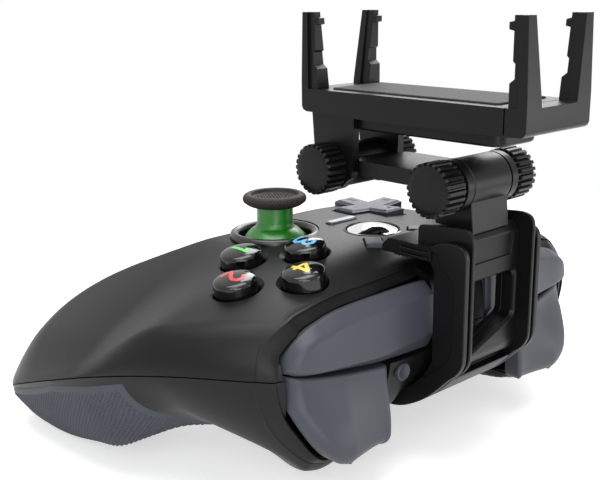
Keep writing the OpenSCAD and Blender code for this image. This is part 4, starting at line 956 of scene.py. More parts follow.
def grip_grid(rows, columns):
    """A grid of points on the inlay: rows along the handle, columns down it."""
    share = np.arange(rows) / (rows - 1)
    grid = np.zeros((rows, columns, 3))
    for j in range(columns):
        length = GRIP_TOP + GRIP_DOWN * j / (columns - 1)
        front = GRIP_FRONT_Y + GRIP_LEAN * min(1.0, j / (0.35 * columns))
        for i in range(rows):
            y = GRIP_TAIL_Y + (front - GRIP_TAIL_Y) * share[i]
            grid[i, j] = down_the_skin(np.float64(y), np.array([length]))[0]
    return grid


def grid_normals(grid):
    """Which way the inlay faces at each point, always out of the pad."""
    across = np.gradient(grid, axis=0)
    down = np.gradient(grid, axis=1)
    normal = np.cross(across, down)
    normal /= np.linalg.norm(normal, axis=-1, keepdims=True)
    return normal * np.where((normal[..., :1] > 0) | (normal[..., 2:] < -0.5), 1.0, -1.0)


grip_points = grip_grid(60, 36)
grip_facing = grid_normals(grip_points)
fade = np.ones(grip_points.shape[:2])
for k, level in ((0, 0.15), (1, 0.75)):
    for index in (k, -1 - k):
        fade[index, :] = np.minimum(fade[index, :], level)
        fade[:, index] = np.minimum(fade[:, index], level)
grip_outer = grip_points + grip_facing * (GRIP_T * fade)[..., None]
grip_shape = grid_solid(grip_outer, grip_points - grip_facing * GRIP_ROOT)
dot_grid = grip_grid(2 * DOT_ROWS, 2 * DOT_COLUMNS)
dot_facing = grid_normals(dot_grid)
picked = [(i, j) for i in range(DOT_BORDER, 2 * DOT_ROWS - DOT_BORDER)
          for j in range(DOT_BORDER, 2 * DOT_COLUMNS - DOT_BORDER) if (i + j) % 2 == 0]
dot_spots = np.array([dot_grid[i, j] + dot_facing[i, j] * (GRIP_T - DOT_SUNK) for i, j in picked])
dot_ways = np.array([dot_facing[i, j] for i, j in picked])
dot = new_piece("grip_dot", turned(DOT_PROFILE, (0, 0, 0), "z", 6), grip_elastomer)
for side_name, sign in SIDES:
    flip = np.array([sign, 1, 1])
    inlay = new_piece(f"{side_name}_grip_inlay", sided(grip_shape, sign), grip_elastomer, 60)
    seat(inlay, "pad", "grip", f"{side_name}_grip_panel")
    dots = grow(carrier(f"{side_name}_grip_dots", dot_spots * flip, dot_ways * flip), STUDS, Stud=dot,
                Finish=grip_elastomer, Size=1.0)
    seat(dots, "pad", "grip")
bpy.data.objects.remove(dot)
print("grip dots:", len(picked))

# %% [markdown]
# ## Thumb sticks
#
# A stick is turned work: a rubber cap with a dished, studded top on a green neck and dome, in a burnished
# ring. The dome's centre is the point that the stick tilts about, so it stays inside the ring at any tilt.

# %% thumb sticks
RING_TOP = 8.0
CAP_PROFILE = [(0, 14.5), (4.6, 14.5), (6.4, 14.7), (7.7, 15.3), (8.35, 16.1), (8.5, 16.8), (8.25, 17.4),
               (7.75, 17.85), (7.1, 18.0), (6.55, 17.85), (6.25, 17.4), (5.9, 17.0), (4.2, 16.7),
               (2.0, 16.55), (0, 16.5)]
RING_PROFILE = [(10.9, 4), (11.4, 4), (11.4, 6.2), (12.4, 6.2), (12.4, 6.9), (12.2, 7.4), (11.8, 7.75),
                (11.3, 7.9), (10.9, 7.85), (10.3, 7.45), (9.95, 7.0), (9.9, 6.5), (10.5, 6.2)]
STUD_PROFILE = [(0.34, 0), (0.22, 0.16), (0, 0.2)]
STUD_PITCH_X, STUD_PITCH_Y = 0.95, 0.82
STUD_FIELD_R = 5.6
EDGE_STUDS = 56
EDGE_RADII = (8.38, 8.5, 8.46, 8.22)


def dome_profile():
    """Outside and inside of the dome with its neck, and the stalk below."""
    outside = [(10.4 * math.cos(a), 10.4 * math.sin(a)) for a in np.linspace(0.17, 1.02, 24)]
    flare = [(5.25, 9.15), (5.02, 9.6), (4.92, 10.3), (4.9, 14.5), (0, 14.5)]
    inside = [(9.3 * math.cos(a), 9.3 * math.sin(a)) for a in np.linspace(1.3, 0.19, 24)]
    return [(0, -1.6), (2.0, -1.6), (2.0, 9.1)] + inside + outside + flare


def stud_spots(centre):
    """Places and directions of the studs on a cap: a field on the dished top, and rows round its edge."""
    spots, ways = [], []
    for row in range(-8, 9):
        for column in range(-8, 9):
            x, y = (column + 0.5 * (row % 2)) * STUD_PITCH_X, row * STUD_PITCH_Y
            r = math.hypot(x, y)
            if r < STUD_FIELD_R:
                spots.append(centre + (x, y, 16.5 + 0.011 * r * r))
                ways.append((-0.03 * x, -0.03 * y, 1))
    for level, out in enumerate(EDGE_RADII):
        for k in range(EDGE_STUDS):
            a = 2 * math.pi * (k + 0.5 * (level % 2)) / EDGE_STUDS
            spots.append(centre + (out * math.cos(a) * 0.995, out * math.sin(a) * 0.995, 16.1 + 0.42 * level))
            ways.append((math.cos(a), math.sin(a), 0.25 * (level - 1)))
    return spots, ways


cap_stud = new_piece("cap_stud", turned(STUD_PROFILE, (0, 0, 0), "z", 6), cap_rubber)
for side_name, ring_mid in STICKS.items():
    ring_z = high(f"{side_name}_stick_ring")[2] - RING_TOP
    centre = np.array([ring_mid[0], ring_mid[1], ring_z])
    body = f"{side_name}_stick"
    ring_shape = turned(RING_PROFILE, centre, "z", 128, closed=True)
    ring = new_piece(f"{side_name}_ring", ring_shape, ring_acetal, 40)
    seat(ring, "pad", "gloss", f"{side_name}_stick_ring")
    stem = new_piece(f"{side_name}_dome", turned(dome_profile(), centre, "z", 128), stick_polycarbonate, 40)
    seat(stem, body, "stick_green", f"{side_name}_stick_stem")
    profile = [(max(0.0, r), h) for r, h in curve_through(CAP_PROFILE, 5)]
    cap = new_piece(f"{side_name}_cap", turned(profile, centre, "z", 128), cap_rubber, 60)
    seat(cap, body, "stick_rubber", f"{side_name}_stick_cap")
    spots, ways = stud_spots(centre)
    studs = grow(carrier(f"{side_name}_cap_studs", spots, ways), STUDS, Stud=cap_stud, Finish=cap_rubber,
                 Size=1.0)
    seat(studs, body, "stick_rubber")
bpy.data.objects.remove(cap_stud)
print("studs on a cap:", len(spots))

# %% [markdown]
# ## Buttons
#
# The four face buttons are glossy caps with a low dome, each with a plain numeral in its own colour. The
# numerals are ribbons that lie on the dome. The cross pad is a height field over a cross outline: dished
# in the middle, with rounded edges.

# %% face buttons
FACE_PROFILE = [(0, -5.6), (6.2, -5.6), (6.2, -4.6), (5.4, -4.5), (5.4, 1.9), (5.36, 2.2), (5.22, 2.5),
                (4.95, 2.78), (4.55, 2.98), (4.0, 3.12), (3.0, 3.34), (1.8, 3.51), (0.8, 3.58), (0, 3.6)]
# Strokes of each numeral, in the button's own plane.
NUMERALS = {1: [(-0.9, 1.2), (0.2, 2.1), (0.2, -2.1)],
            2: [(-1.2, 1.2), (-0.8, 1.9), (0, 2.1), (0.9, 1.8), (1.2, 1.0), (0.7, 0.0), (-1.2, -2.0),
                (1.4, -2.0)],
            3: [(-1.2, 1.7), (-0.2, 2.1), (0.9, 1.7), (1.1, 1.0), (0.6, 0.3), (-0.3, 0.1), (0.8, -0.2),
                (1.3, -1.0), (0.9, -1.8), (-0.2, -2.1), (-1.3, -1.6)],
            4: [(0.6, -2.1), (0.6, 2.1), (-1.5, -0.7), (1.5, -0.7)]}
NUMERAL_INKS = {1: ink_green, 2: ink_red, 3: ink_blue, 4: ink_yellow}
NUMERAL_SCALE = 1.35
NUMERAL_W = 0.95
STROKE_STEP = 0.3
INK_ABOVE, INK_BELOW = 0.05, 0.15


def face_dome(r):
    """Height of a face button's dome at a radius."""
    heights = [(r0, h) for r0, h in reversed(FACE_PROFILE) if h > 2.4]
    return np.interp(r, [p[0] for p in heights], [p[1] for p in heights])


def numeral_shape(number):
    """A ribbon along the numeral's strokes, lying on the dome of its button."""
    line = np.array(NUMERALS[number]) * NUMERAL_SCALE
    path = [line[0]]
    for a, b in zip(line[:-1], line[1:]):
        count = max(2, int(np.linalg.norm(b - a) / STROKE_STEP))
        path += [a + (b - a) * k / count for k in range(1, count + 1)]
    path = np.array(path)
    way = np.gradient(path, axis=0)
    way /= np.maximum(np.linalg.norm(way, axis=1, keepdims=True), 1e-6)
    beside = np.stack([-way[:, 1], way[:, 0]], 1) * NUMERAL_W / 2
    flat = np.stack([path + beside * t for t in (-1, -0.4, 0.4, 1)], 1)
    rise = face_dome(np.hypot(flat[..., 0], flat[..., 1]))
    outer = np.concatenate([flat, (rise + INK_ABOVE)[..., None]], -1)
    inner = np.concatenate([flat, (rise - INK_BELOW)[..., None]], -1)
    return grid_solid(outer, inner)


for number in FACE_SPOTS:
    cap = new_piece(f"face_button_{number}_cap", on_face_group(turned(FACE_PROFILE, (0, 0, 0)), number),
                    button_acrylic, 50)
    seat(cap, f"face_button_{number}", "gloss", f"face_button_{number}")
    mark = new_piece(f"face_button_{number}_mark", on_face_group(numeral_shape(number), number),
                     NUMERAL_INKS[number])
    seat(mark, f"face_button_{number}", "gloss")
print("face buttons:", len(FACE_SPOTS))

# %% cross pad
DPAD_TOP = 53.75
DPAD_FOOT = 50.4
CELL = 0.265
EDGE_DROP, EDGE_W = 0.7, 0.9
DIMPLE_OUT, DIMPLE_DEPTH, DIMPLE_SPREAD = 7.6, 0.35, 2.6


def cross_depth(x, y):
    """Distance inside the cross outline, in millimetres."""
    w = DPAD_W / 2
    a, b = abs(x), abs(y)
    bar_x = min(DPAD_ARM - a, w - b)
    bar_y = min(DPAD_ARM - b, w - a)
    return max(bar_x, bar_y)


def cross_pad_shape():
    """A field of small cells over the cross: a dished, dimpled top with round edges, on straight sides."""
    count = int(round(2 * DPAD_ARM / CELL))
    ticks = np.linspace(-DPAD_ARM, DPAD_ARM, count + 1)
    inside = {}
    points, faces = [], []

    def corner(i, j):
        if (i, j) not in inside:
            x, y = ticks[i], ticks[j]
            depth = max(0.0, cross_depth(x, y))
            far = abs(abs(x) + abs(y) - DIMPLE_OUT)
            z = DPAD_TOP + 0.0045 * (x * x + y * y) - EDGE_DROP * max(0.0, 1 - depth / EDGE_W)
            z -= DIMPLE_DEPTH * max(0.0, 1 - (far * far + min(abs(x), abs(y)) ** 2) / DIMPLE_SPREAD)
            inside[(i, j)] = len(points)
            points.append((dpad_mid[0] + x, dpad_mid[1] + y, z))
            points.append((dpad_mid[0] + x, dpad_mid[1] + y, DPAD_FOOT))
        return inside[(i, j)]

    cells = {(i, j) for i in range(count) for j in range(count)
             if cross_depth((ticks[i] + ticks[i + 1]) / 2, (ticks[j] + ticks[j + 1]) / 2) > 0}
    for i, j in cells:
        a, b, c, d = corner(i, j), corner(i + 1, j), corner(i + 1, j + 1), corner(i, j + 1)
        faces.append((a, b, c, d))
        faces.append((a + 1, d + 1, c + 1, b + 1))
        for step, (p, q) in (((0, -1), (a, b)), ((1, 0), (b, c)), ((0, 1), (c, d)), ((-1, 0), (d, a))):
            if (i + step[0], j + step[1]) not in cells:
                faces.append((p, p + 1, q + 1, q))
    return points, faces


cross_pad = new_piece("cross_pad", cross_pad_shape(), slate_abs, 50)
seat(cross_pad, "dpad", "slate", "dpad")
print("cross pad faces:", len(cross_pad.data.polygons))

# %% small buttons
HOME_FOOT = [(0, -6.2), (7.8, -6.2), (7.8, -5.2), (7.0, -5.1), (7.0, -1.9), (6.95, -1.7)]
HOME_RING = [(7.35, -0.6), (7.35, 0.25), (7.55, 0.42), (7.9, 0.42), (8.3, 0.2), (8.5, -0.6)]
PAIR_PROFILE = [(0, -0.12), (1.55, -0.12), (1.7, 0.0), (2.0, 0.0), (2.2, -0.2), (2.2, -4.4), (2.9, -4.4),
                (2.9, -5.4), (0, -5.4)]
KEY_DEPTH = 5.4
home_z = high("home_button")[2]
home_dome = [(r, -0.034 * r * r) for r in np.linspace(6.8, 0, 24)]
home_shape = turned(HOME_FOOT + home_dome, (home_mid[0], home_mid[1], home_z))
home = new_piece("home_dome", home_shape, chrome_plate, 50)
seat(home, "home_button", "chrome", "home_button")
ring_shape = turned(HOME_RING, (home_mid[0], home_mid[1], FACE_Z - 0.2), "z", 96, closed=True)
seat(new_piece("home_bezel", ring_shape, button_acrylic, 40), "pad", "gloss")
share_outline = fillet(rectangle(-5, share_mid[1] - 1.2, 5, share_mid[1] + 1.2), 1.0)
share_shape = extruded(share_outline, "z", low("share_button")[2], high("share_button")[2])
share = soften(new_piece("share_bar", share_shape, nickel_paint), 0.35)
seat(share, "share_button", "silver", "share_button")
for key in KEYS:
    top = high(key)[2]
    key_shape = extruded(fillet(slanted_key(key, 2.2, 3.6), 0.6), "z", top - KEY_DEPTH, top)
    seat(soften(new_piece(f"{key}_key", key_shape, slate_abs), 0.4), key, "slate", key)
pair_mid = middle("pair_button")
pair_face = (pair_mid[0], high("pair_button")[1], pair_mid[2])
pair = new_piece("pair_disc", turned(PAIR_PROFILE, pair_face, "y", 64), slate_abs, 40)
seat(pair, "pair_button", "slate", "pair_button")
print("small buttons:", [piece.name for piece in (home, share, pair)], KEYS)

# %% [markdown]
# ## The clip
#
# The clip's frame is a C in side view: a slab on the pad, a plate in front of it and a hook below. On each
# side stand a low outer rim and a tall inner wall, with a groove between them. Each of these is a side
# outline pushed across its own width, so all of them follow the same curve, and small bevels catch the light.

# %% clip frame
CLIP_HALF = float(high("clip_frame")[0])
PANEL_HALF = CLIP_HALF - 3.5
WALL_HALF = CLIP_HALF - 2.5
GROOVE = 1.4
GROOVE_W = 1.0
OVERLAP = 0.05
SLAB_FOOT, SLAB_TOP = 53.4, 57.0
SHOULDER_Z = SLAB_TOP + 3.4
PIVOT_Z, LOWER_Y, UPPER_Y = 70.9, 40.8, 2.2
# Edges in side view, as distance forward and height.
HOOK_OUT = [(51, 32.6), (50.7, 29.8), (49.3, 27.3), (46.7, 25.0), (44, 22.2), (41, 19.3), (38, 17),
            (34.6, 15), (31.6, 13.7), (28.6, 13.1), (26.4, 13.4)]
HOOK_IN = [(25.5, 15.2), (29, 16.6), (31.8, 17.8), (35, 20.2), (37.8, 22.9), (39.6, 25.6), (41.2, 28.4)]
RIM_TOP = [(37, 57), (40, 57), (42.6, 58.2), (45.2, 58.9), (48.2, 58.9), (50.1, 58.1), (50.9, 56.4), (51, 54)]
WALL_TOP = [(36, 61.4), (40, 61.8), (44, 62.2), (47, 62.4), (49.2, 62.1), (50.5, 61), (51, 59.2), (51, 56)]
BACK_EDGE = [(41.2, 51.2), (39.8, SLAB_FOOT)]
SIDE_HOLLOW = [(30, 56.2), (40, 56.5), (42.3, 55.6), (44, 52.4), (47.6, 49.8), (47.6, 33), (46.2, 29.8),
               (43, 26.8), (39, 23.6), (30, 20)]
HOLLOW_DEPTH = 0.5
# Window in the front plate, seen from the front, with its corner radius and the depth of its cutter.
WINDOW = [(-10.3, 47.6), (10.3, 47.6), (10.3, 28.4), (-10.3, 36.0)]
WINDOW_R = 2.0
WINDOW_CUT = (38, 54)
NOTCH_HEIGHTS = (54.1, 55.5)
NOTCH_H = 0.5
TREAD_PITCH = 1.2


def set_back(path, amount):
    """An open edge moved towards the inside of the clip."""
    path = np.array(path, float)
    way = np.gradient(path, axis=0)
    way /= np.linalg.norm(way, axis=1, keepdims=True)
    return path + np.stack([way[:, 1], -way[:, 0]], 1) * amount


def clip_outline(top, start, inset=0.0):
    """A side outline of the frame under a given top edge; the inset makes the floor of the groove."""
    edge = set_back(np.concatenate([curve_through(top, 5), curve_through(HOOK_OUT, 4)]), inset)
    return [tuple(p) for p in start] + [tuple(p) for p in edge] + HOOK_IN + BACK_EDGE


def both_sides(name, outline, inner, outer, edge, cutter=None):
    """The same plate on the right and on the left of the clip, with softened edges."""
    plates = []
    for sign in (1, -1):
        plate = new_piece(name, sided(extruded(outline, "x", inner, outer), sign), clip_nylon)
        if cutter:
            hollow = sided(extruded(cutter, "x", outer - HOLLOW_DEPTH, outer + 1), sign)
            cut(plate, [new_piece("hollow", hollow, clip_nylon)])
        plates.append(soften(plate, edge))
    return plates


rim_outline = clip_outline(RIM_TOP, [(37, SLAB_FOOT)])
groove_outline = clip_outline(RIM_TOP, [(38.4, SLAB_FOOT)], GROOVE)
wall_outline = clip_outline(WALL_TOP, [(34.4, SLAB_FOOT), (34.4, 60.4), (34.9, 61.1)])
frame_parts = both_sides("rim", rim_outline, WALL_HALF + GROOVE_W, CLIP_HALF, 0.35, SIDE_HOLLOW)
frame_parts += both_sides("groove", groove_outline, WALL_HALF - OVERLAP, WALL_HALF + GROOVE_W + OVERLAP, 0.1)
frame_parts += both_sides("wall", wall_outline, PANEL_HALF - 2 * OVERLAP, WALL_HALF, 0.3)
middle_edge = [tuple(p) for p in curve_through(HOOK_OUT, 4) if p[1] < 24.0]
middle_outline = [(34.5, SLAB_FOOT), (34.5, SHOULDER_Z), (43.2, SHOULDER_Z), (43.2, 24.2), (45.6, 24.2)]
middle_outline += middle_edge + HOOK_IN + BACK_EDGE
middle_part = new_piece("middle", extruded(middle_outline, "x", -PANEL_HALF, PANEL_HALF), clip_nylon)
window_shape = extruded(fillet(WINDOW, WINDOW_R), "y", *WINDOW_CUT)
cut(middle_part, [new_piece("window", window_shape, clip_nylon)])
frame_parts.append(soften(middle_part, 0.25))
slab_outline = [(25, SLAB_FOOT), (25, 55), (27, SLAB_TOP), (40.6, SLAB_TOP), (40.6, SLAB_FOOT)]
slab = new_piece("slab", extruded(slab_outline, "x", -CLIP_HALF, CLIP_HALF), clip_nylon)
notches = []
for sign in (1, -1):
    outline = rectangle(sign * (CLIP_HALF - 0.9), 31, sign * 17, 39.4)
    for height in NOTCH_HEIGHTS:
        notches.append(new_piece("notch", extruded(outline, "z", height, height + NOTCH_H), clip_nylon))
cut(slab, notches)
frame_parts.append(soften(slab, 0.2))
seat(join("clip_cradle", frame_parts), "clip", "clip", "clip_frame")
tread = [(26.5, SLAB_FOOT)]
for k in range(5):
    tread += [(y + TREAD_PITCH * k, z) for y, z in ((26.5, 52.0), (27.1, 52.0), (27.3, 52.4), (27.5, 52.4))]
tread += [(32.5, 52.4), (32.5, SLAB_FOOT)]
tread_piece = new_piece("clip_tread", extruded(tread, "x", -12, 12), pad_rubber)
seat(tread_piece, "clip", "pad_rubber", "clip_pads")

# %% clip front plate
BOLT_R = 2.1
PLATE_GAP = 0.12
PLATE_REAR, PLATE_FRONT = 43.2, 47
NECK_HALF = 7.1
BARREL_HALF = 7.3
LOWER_R, UPPER_R = 6.3, 5.8
FIELD = [(-8.2, 52.2), (8.2, 52.2), (9, 57.4), (-9, 57.4)]
front_outline = [(PLATE_REAR, 25), (46, 26.8), (PLATE_FRONT, 29), (PLATE_FRONT, SHOULDER_Z - 2.1),
                 (45.2, SHOULDER_Z), (PLATE_REAR, SHOULDER_Z)]
plate_shape = extruded(front_outline, "x", PLATE_GAP - PANEL_HALF, PANEL_HALF - PLATE_GAP)
plate = new_piece("front_plate", plate_shape, clip_nylon)
window_rings = []
for forward, wider in ((46.1, 0.0), (47.4, 0.9)):
    corners = [(a + math.copysign(wider, a), b + (wider if b > 40 else -wider)) for a, b in WINDOW]
    window_rings.append([(a, forward, b) for a, b in fillet(corners, WINDOW_R)])
cut(plate, [new_piece("window", window_shape, clip_nylon),
            new_piece("bevel", loft(np.array(window_rings)), clip_nylon),
            new_piece("field", extruded(fillet(FIELD, 0.6), "y", 46.5, 49), clip_nylon)])
soften(plate, 0.15)
neck_outline = fillet([(PLATE_REAR, SHOULDER_Z - 0.8), (46.7, SHOULDER_Z - 0.8), (46.4, 62.4), (46.0, 66),
                       (45.6, PIVOT_Z), (LOWER_Y - 5.8, PIVOT_Z), (LOWER_Y - 6, 62.4), (LOWER_Y - 5.4, 60.7),
                       (PLATE_REAR, 60.7)], 0.3, 2)
neck = soften(new_piece("neck", extruded(neck_outline, "x", -NECK_HALF, NECK_HALF), clip_nylon), 0.5)


def barrel(name, y, radius):
    """A tube round a pivot, with chamfered ends."""
    half = BARREL_HALF
    ring = [(BOLT_R, -half), (radius - 0.3, -half), (radius, 0.3 - half), (radius, half - 0.3),
            (radius - 0.3, half), (BOLT_R, half)]
    return new_piece(name, turned(ring, (0, y, PIVOT_Z), "x", 96, closed=True), clip_nylon, 40)


front = join("clip_front", [plate, neck, barrel("lower_barrel", LOWER_Y, LOWER_R)])
seat(front, "clip", "clip", "clip_panel")
print("front plate faces:", len(front.data.polygons))

# %% [markdown]
# ## Arm, knobs and phone holder
#
# The arm is a flat link with an eye at each end. The knobs are turned cores with a ring of ribs from the
# teeth tree. The holder is a bowed tray with two posts at the rear; the jaw in front has two more and slides
# on rods. A post is a stepped pad in front of a plain flange, both tapered towards the top.

# %% arm and knobs
EAR_IN, EAR_OUT = 7.6, 9.8
LINK_LOW, LINK_TOP = 69.5, 73.5
KNOB_X = 10.1
KNOB_R = 5.85
KNOB_RIBS = 24
KNOB_CORE = [(BOLT_R, 0), (5.7, 0), (KNOB_R, 0.2), (KNOB_R, 6.6), (5.75, 6.95), (5.4, 7.1), (4.2, 7.2),
             (2.2, 7.27), (0, 7.3), (0, 6.4), (BOLT_R, 6.4)]
# Stations of a knob's rib: place along the knob, half widths at root and crest, and how far it stands out.
RIB_STATIONS = [(0.7, 0.62, 0.5, 0.2), (1.0, 0.66, 0.36, 0.75), (6.6, 0.66, 0.36, 0.75), (7.0, 0.6, 0.4, 0.3)]
RIB_ROOT = -0.2


def arc(centre, radius, start, end, steps=24):
    """Points on part of a circle, in degrees from forward towards up."""
    angles = np.radians(np.linspace(start, end, steps))
    return [(centre[0] + radius * math.cos(a), centre[1] + radius * math.sin(a)) for a in angles]


def ears(name, outline, y):
    """A pair of cheeks round a pivot, each with its bore."""
    pair_of = []
    for sign in (1, -1):
        cheek = new_piece(name, sided(extruded(outline, "x", EAR_IN, EAR_OUT), sign), clip_nylon)
        bore = post(BOLT_R, (0, y, PIVOT_Z), sign * EAR_IN - 4, sign * EAR_IN + 6, "x")
        cut(cheek, [new_piece("bore", bore, clip_nylon)])
        pair_of.append(soften(cheek, 0.3))
    return pair_of


cheek_outline = [(30, LINK_LOW)] + arc((LOWER_Y, PIVOT_Z), LOWER_R, -140, 140, 48)
cheek_outline += [(34, LINK_TOP), (30, LINK_TOP)]
arm_parts = ears("arm_cheek", cheek_outline, LOWER_Y)
link_outline = fillet(rectangle(-EAR_OUT, 10.8, EAR_OUT, 32.8), [2.4, 2.4, 0.2, 0.2])
link = new_piece("arm_plate", extruded(link_outline, "z", LINK_LOW, LINK_TOP), clip_nylon)
arm_parts.append(soften(link, 0.45))
tongue = extruded(rectangle(-7.2, 5.4, 7.2, 12.6), "z", LINK_LOW + 0.1, LINK_TOP - 0.1)
arm_parts.append(soften(new_piece("arm_tongue", tongue, clip_nylon), 0.4))
arm_parts.append(barrel("upper_barrel", UPPER_Y, UPPER_R))
seat(join("arm_bar", arm_parts), "arm", "clip", "arm_link")

rib_rings = [[(RIB_ROOT, -root, h), (out, -crest, h), (out, crest, h), (RIB_ROOT, root, h)]
             for h, root, crest, out in RIB_STATIONS]
rib = new_piece("knob_rib", loft(np.array(rib_rings)), clip_nylon)
for level, y in (("lower", LOWER_Y), ("upper", UPPER_Y)):
    for side_name, sign in SIDES:
        name = f"{level}_knob_{side_name}"
        knob = new_piece(f"{name}_cap", turned(KNOB_CORE, (0, 0, 0), "z", 96), clip_nylon, 30)
        grow(knob, TEETH, Tooth=rib, Finish=clip_nylon, Count=KNOB_RIBS, Radius=KNOB_R * MM)
        turn = Matrix(((0, 0, sign), (1, 0, 0), (0, sign, 0))).to_4x4()
        knob.data.transform(Matrix.Translation(Vector((sign * KNOB_X, y, PIVOT_Z)) * MM) @ turn)
        smooth(knob, 30)
        seat(knob, name, "clip", name)
bpy.data.objects.remove(rib)
print("knob faces:", len(knob.data.polygons))

# %% phone holder
TRAY_HALF = float(high("phone_tray")[0])
TRAY_REAR, TRAY_FRONT = -6.3, 57.7
TRAY_LOW, TRAY_TOP = 84.5, 91.0
JAW_REAR, JAW_T = 58.0, 5.6
POST_TOP = float(high("phone_tray")[2])
POST_W, POST_TIP_W = 5.6, 2.8
RODS = [(-7.0, 1.5), (7.0, 1.5)]
ROD_Z = 87.62
# Steps of a post's pad in side view: depth from the phone's side, and height above the tray.
PAD_STEPS = [(3.8, -3), (0.3, -3), (0.3, 5.2), (1.6, 6.2), (1.6, 9.4), (1.0, 9.9), (1.0, 16.2), (-0.3, 16.5),
             (-0.3, 18.0), (1.0, 18.3), (1.0, 19.5), (3.8, 19.5)]
FLANGE = [(3.2, -3), (5.6, -3), (5.6, 2), (5.0, 19.5), (3.2, 19.5)]
TRAY_SIDE = [(TRAY_REAR, TRAY_TOP), (TRAY_REAR, 86.4), (-5.8, 85.5), (-4.6, 85.1), (8, 84.7), (24, TRAY_LOW),
             (40, TRAY_LOW), (TRAY_FRONT, 84.7), (TRAY_FRONT, TRAY_TOP)]
JAW_SIDE = [(JAW_REAR, TRAY_TOP), (JAW_REAR, 84.7), (62.6, 84.9), (63.2, 85.3), (63.6, 86.2),
            (63.6, TRAY_TOP)]
RECESS_Z = 90.2
SHEET_GAP = 0.15


def posts(y, way):
    """Two posts of a jaw, still sharp; way is 1 for the front jaw and -1 for the rear one."""
    pair_of = []
    for sign in (1, -1):
        for outline, inset in ((PAD_STEPS, 0.7), (FLANGE, 0.0)):
            side_line = [(y + way * d, TRAY_TOP + h) for d, h in outline]
            foot, tip = TRAY_HALF - POST_W + inset, TRAY_HALF - POST_TIP_W + 0.5 * inset
            shape = extruded(side_line, "x", foot, TRAY_HALF - inset)
            piece = new_piece("post", sided(shape, sign), clip_nylon)
            taper = [(foot - 4, 89), (foot, 91.5), (tip, POST_TOP + 0.5), (foot - 4, POST_TOP + 0.5)]
            wedge = sided(extruded(taper, "y", y - 9, y + 9), sign)
            cut(piece, [new_piece("wedge", wedge, clip_nylon)])
            pair_of.append(piece)
    return pair_of


def round_bar(x, z, radius, start, end):
    """A round rod, or the cutter of its bore, along y."""
    return extruded([(x + a, z + b) for a, b in arc((0, 0), radius, 0, 345, 24)], "y", start, end)


tray = new_piece("tray_body", extruded(TRAY_SIDE, "x", -TRAY_HALF, TRAY_HALF), clip_nylon)
recess = fillet(rectangle(-9.6, 1.8, 9.6, 54.2), 0.8)
bores = [round_bar(x, ROD_Z, r + 0.1, 11.7, 60) for x, r in RODS]
bores += [round_bar(0, ROD_Z, 2.2, 19.7, 60), extruded(recess, "z", RECESS_Z, 93)]
cut(tray, posts(TRAY_REAR + JAW_T, -1), operation="UNION")
cut(tray, [new_piece("bore", shape, clip_nylon) for shape in bores])
holder_parts = [soften(tray, 0.2)]
keel = extruded(fillet(rectangle(-8, 9.7, 8, 53.7), [1, 1, 4, 4]), "z", 81.1, 84.9)
holder_parts.append(soften(new_piece("keel", keel, clip_nylon), 0.9))
ear_outline = [(-5.3, 85.5)] + arc((UPPER_Y, PIVOT_Z), 6.3, 185, 325, 40)
ear_outline += [(9.2, 68.6), (9.6, 70.4), (10.2, 85.5)]
holder_parts += ears("tray_ear", ear_outline, UPPER_Y)
seat(join("holder_tray", holder_parts), "holder", "clip", "phone_tray")
sheet_outline = fillet(rectangle(SHEET_GAP - 9.6, 1.8 + SHEET_GAP, 9.6 - SHEET_GAP, 54.2 - SHEET_GAP), 0.8)
sheet = new_piece("tray_sheet", extruded(sheet_outline, "z", RECESS_Z + 0.05, TRAY_TOP + 0.5), pad_rubber)
seat(soften(sheet, 0.35), "holder", "pad_rubber", "tray_pad")
jaw_body = new_piece("jaw_body", extruded(JAW_SIDE, "x", -TRAY_HALF, TRAY_HALF), clip_nylon)
cut(jaw_body, posts(JAW_REAR, 1), operation="UNION")
jaw_parts = [soften(jaw_body, 0.2)]
jaw_parts += [new_piece("rod", round_bar(x, ROD_Z, r, 14, 58.6), clip_nylon) for x, r in RODS]
seat(join("front_jaw", jaw_parts), "jaw", "clip", "sliding_jaw")
print("holder and jaw faces:", len(holder_parts[0].data.polygons), len(jaw_parts[0].data.polygons))

# %% screws
SCREW_PROFILE = [(0, -3.4), (0.9, -3.4), (1.0, -3.1), (1.0, 0), (1.9, 0), (1.9, 0.6), (1.6, 0.9), (0.9, 1.0),
                 (0, 1.0)]
CLIP_SPOTS = [(-8.6, 41.2, 51.4), (8.6, 41.2, 51.4)]
screw = new_piece("screw", turned(SCREW_PROFILE, (0, 0, 0), "z", 40), drawn_steel)
slots = []
for a, b in ((1.25, 0.25), (0.25, 1.25)):
    slots.append(new_piece("slot", extruded(rectangle(-a, -b, a, b), "z", 0.3, 2), drawn_steel))
cut(screw, slots)
for name, spots, way, body in (("case", case_heads, (0, 0, -1), "pad"),
                               ("clip", CLIP_SPOTS, (0, -1, 0), "clip")):
    heads = carrier(f"{name}_heads", spots, [way] * len(spots))
    grow(heads, STUDS, Stud=screw, Finish=drawn_steel, Size=1.0)
    seat(heads, body, "steel", f"{name}_screws")
bpy.data.objects.remove(screw)
print("screws:", len(case_heads) + len(CLIP_SPOTS))

# %% [markdown]
# ## Floor and light
#
# The picture has a plain white ground. The floor is a pale plane that keeps the object's shadow, and the
# world is white where the camera or a mirror sees it. Large soft lamps light the object from above.

# %% floor and light
FLOOR_HALF = 3000
FLOOR_GLOW = 0.55
CLEAR_FROM, CLEAR_TO = 0.12, 0.34
WORLD_FILL = 0.4
WHITE = (1, 1, 1, 1)


def direct_look(tree):
    """1 where the camera sees a surface itself, in a mirror or through glass, and 0 for other light."""
    seen = add_node(tree, "ShaderNodeLightPath").outputs
    look = seen["Is Camera Ray"]
    for other in ("Is Glossy Ray", "Is Transmission Ray"):
        look = add_node(tree, "ShaderNodeMath", {0: look, 1: seen[other]}, operation="MAXIMUM").outputs[0]
    return look


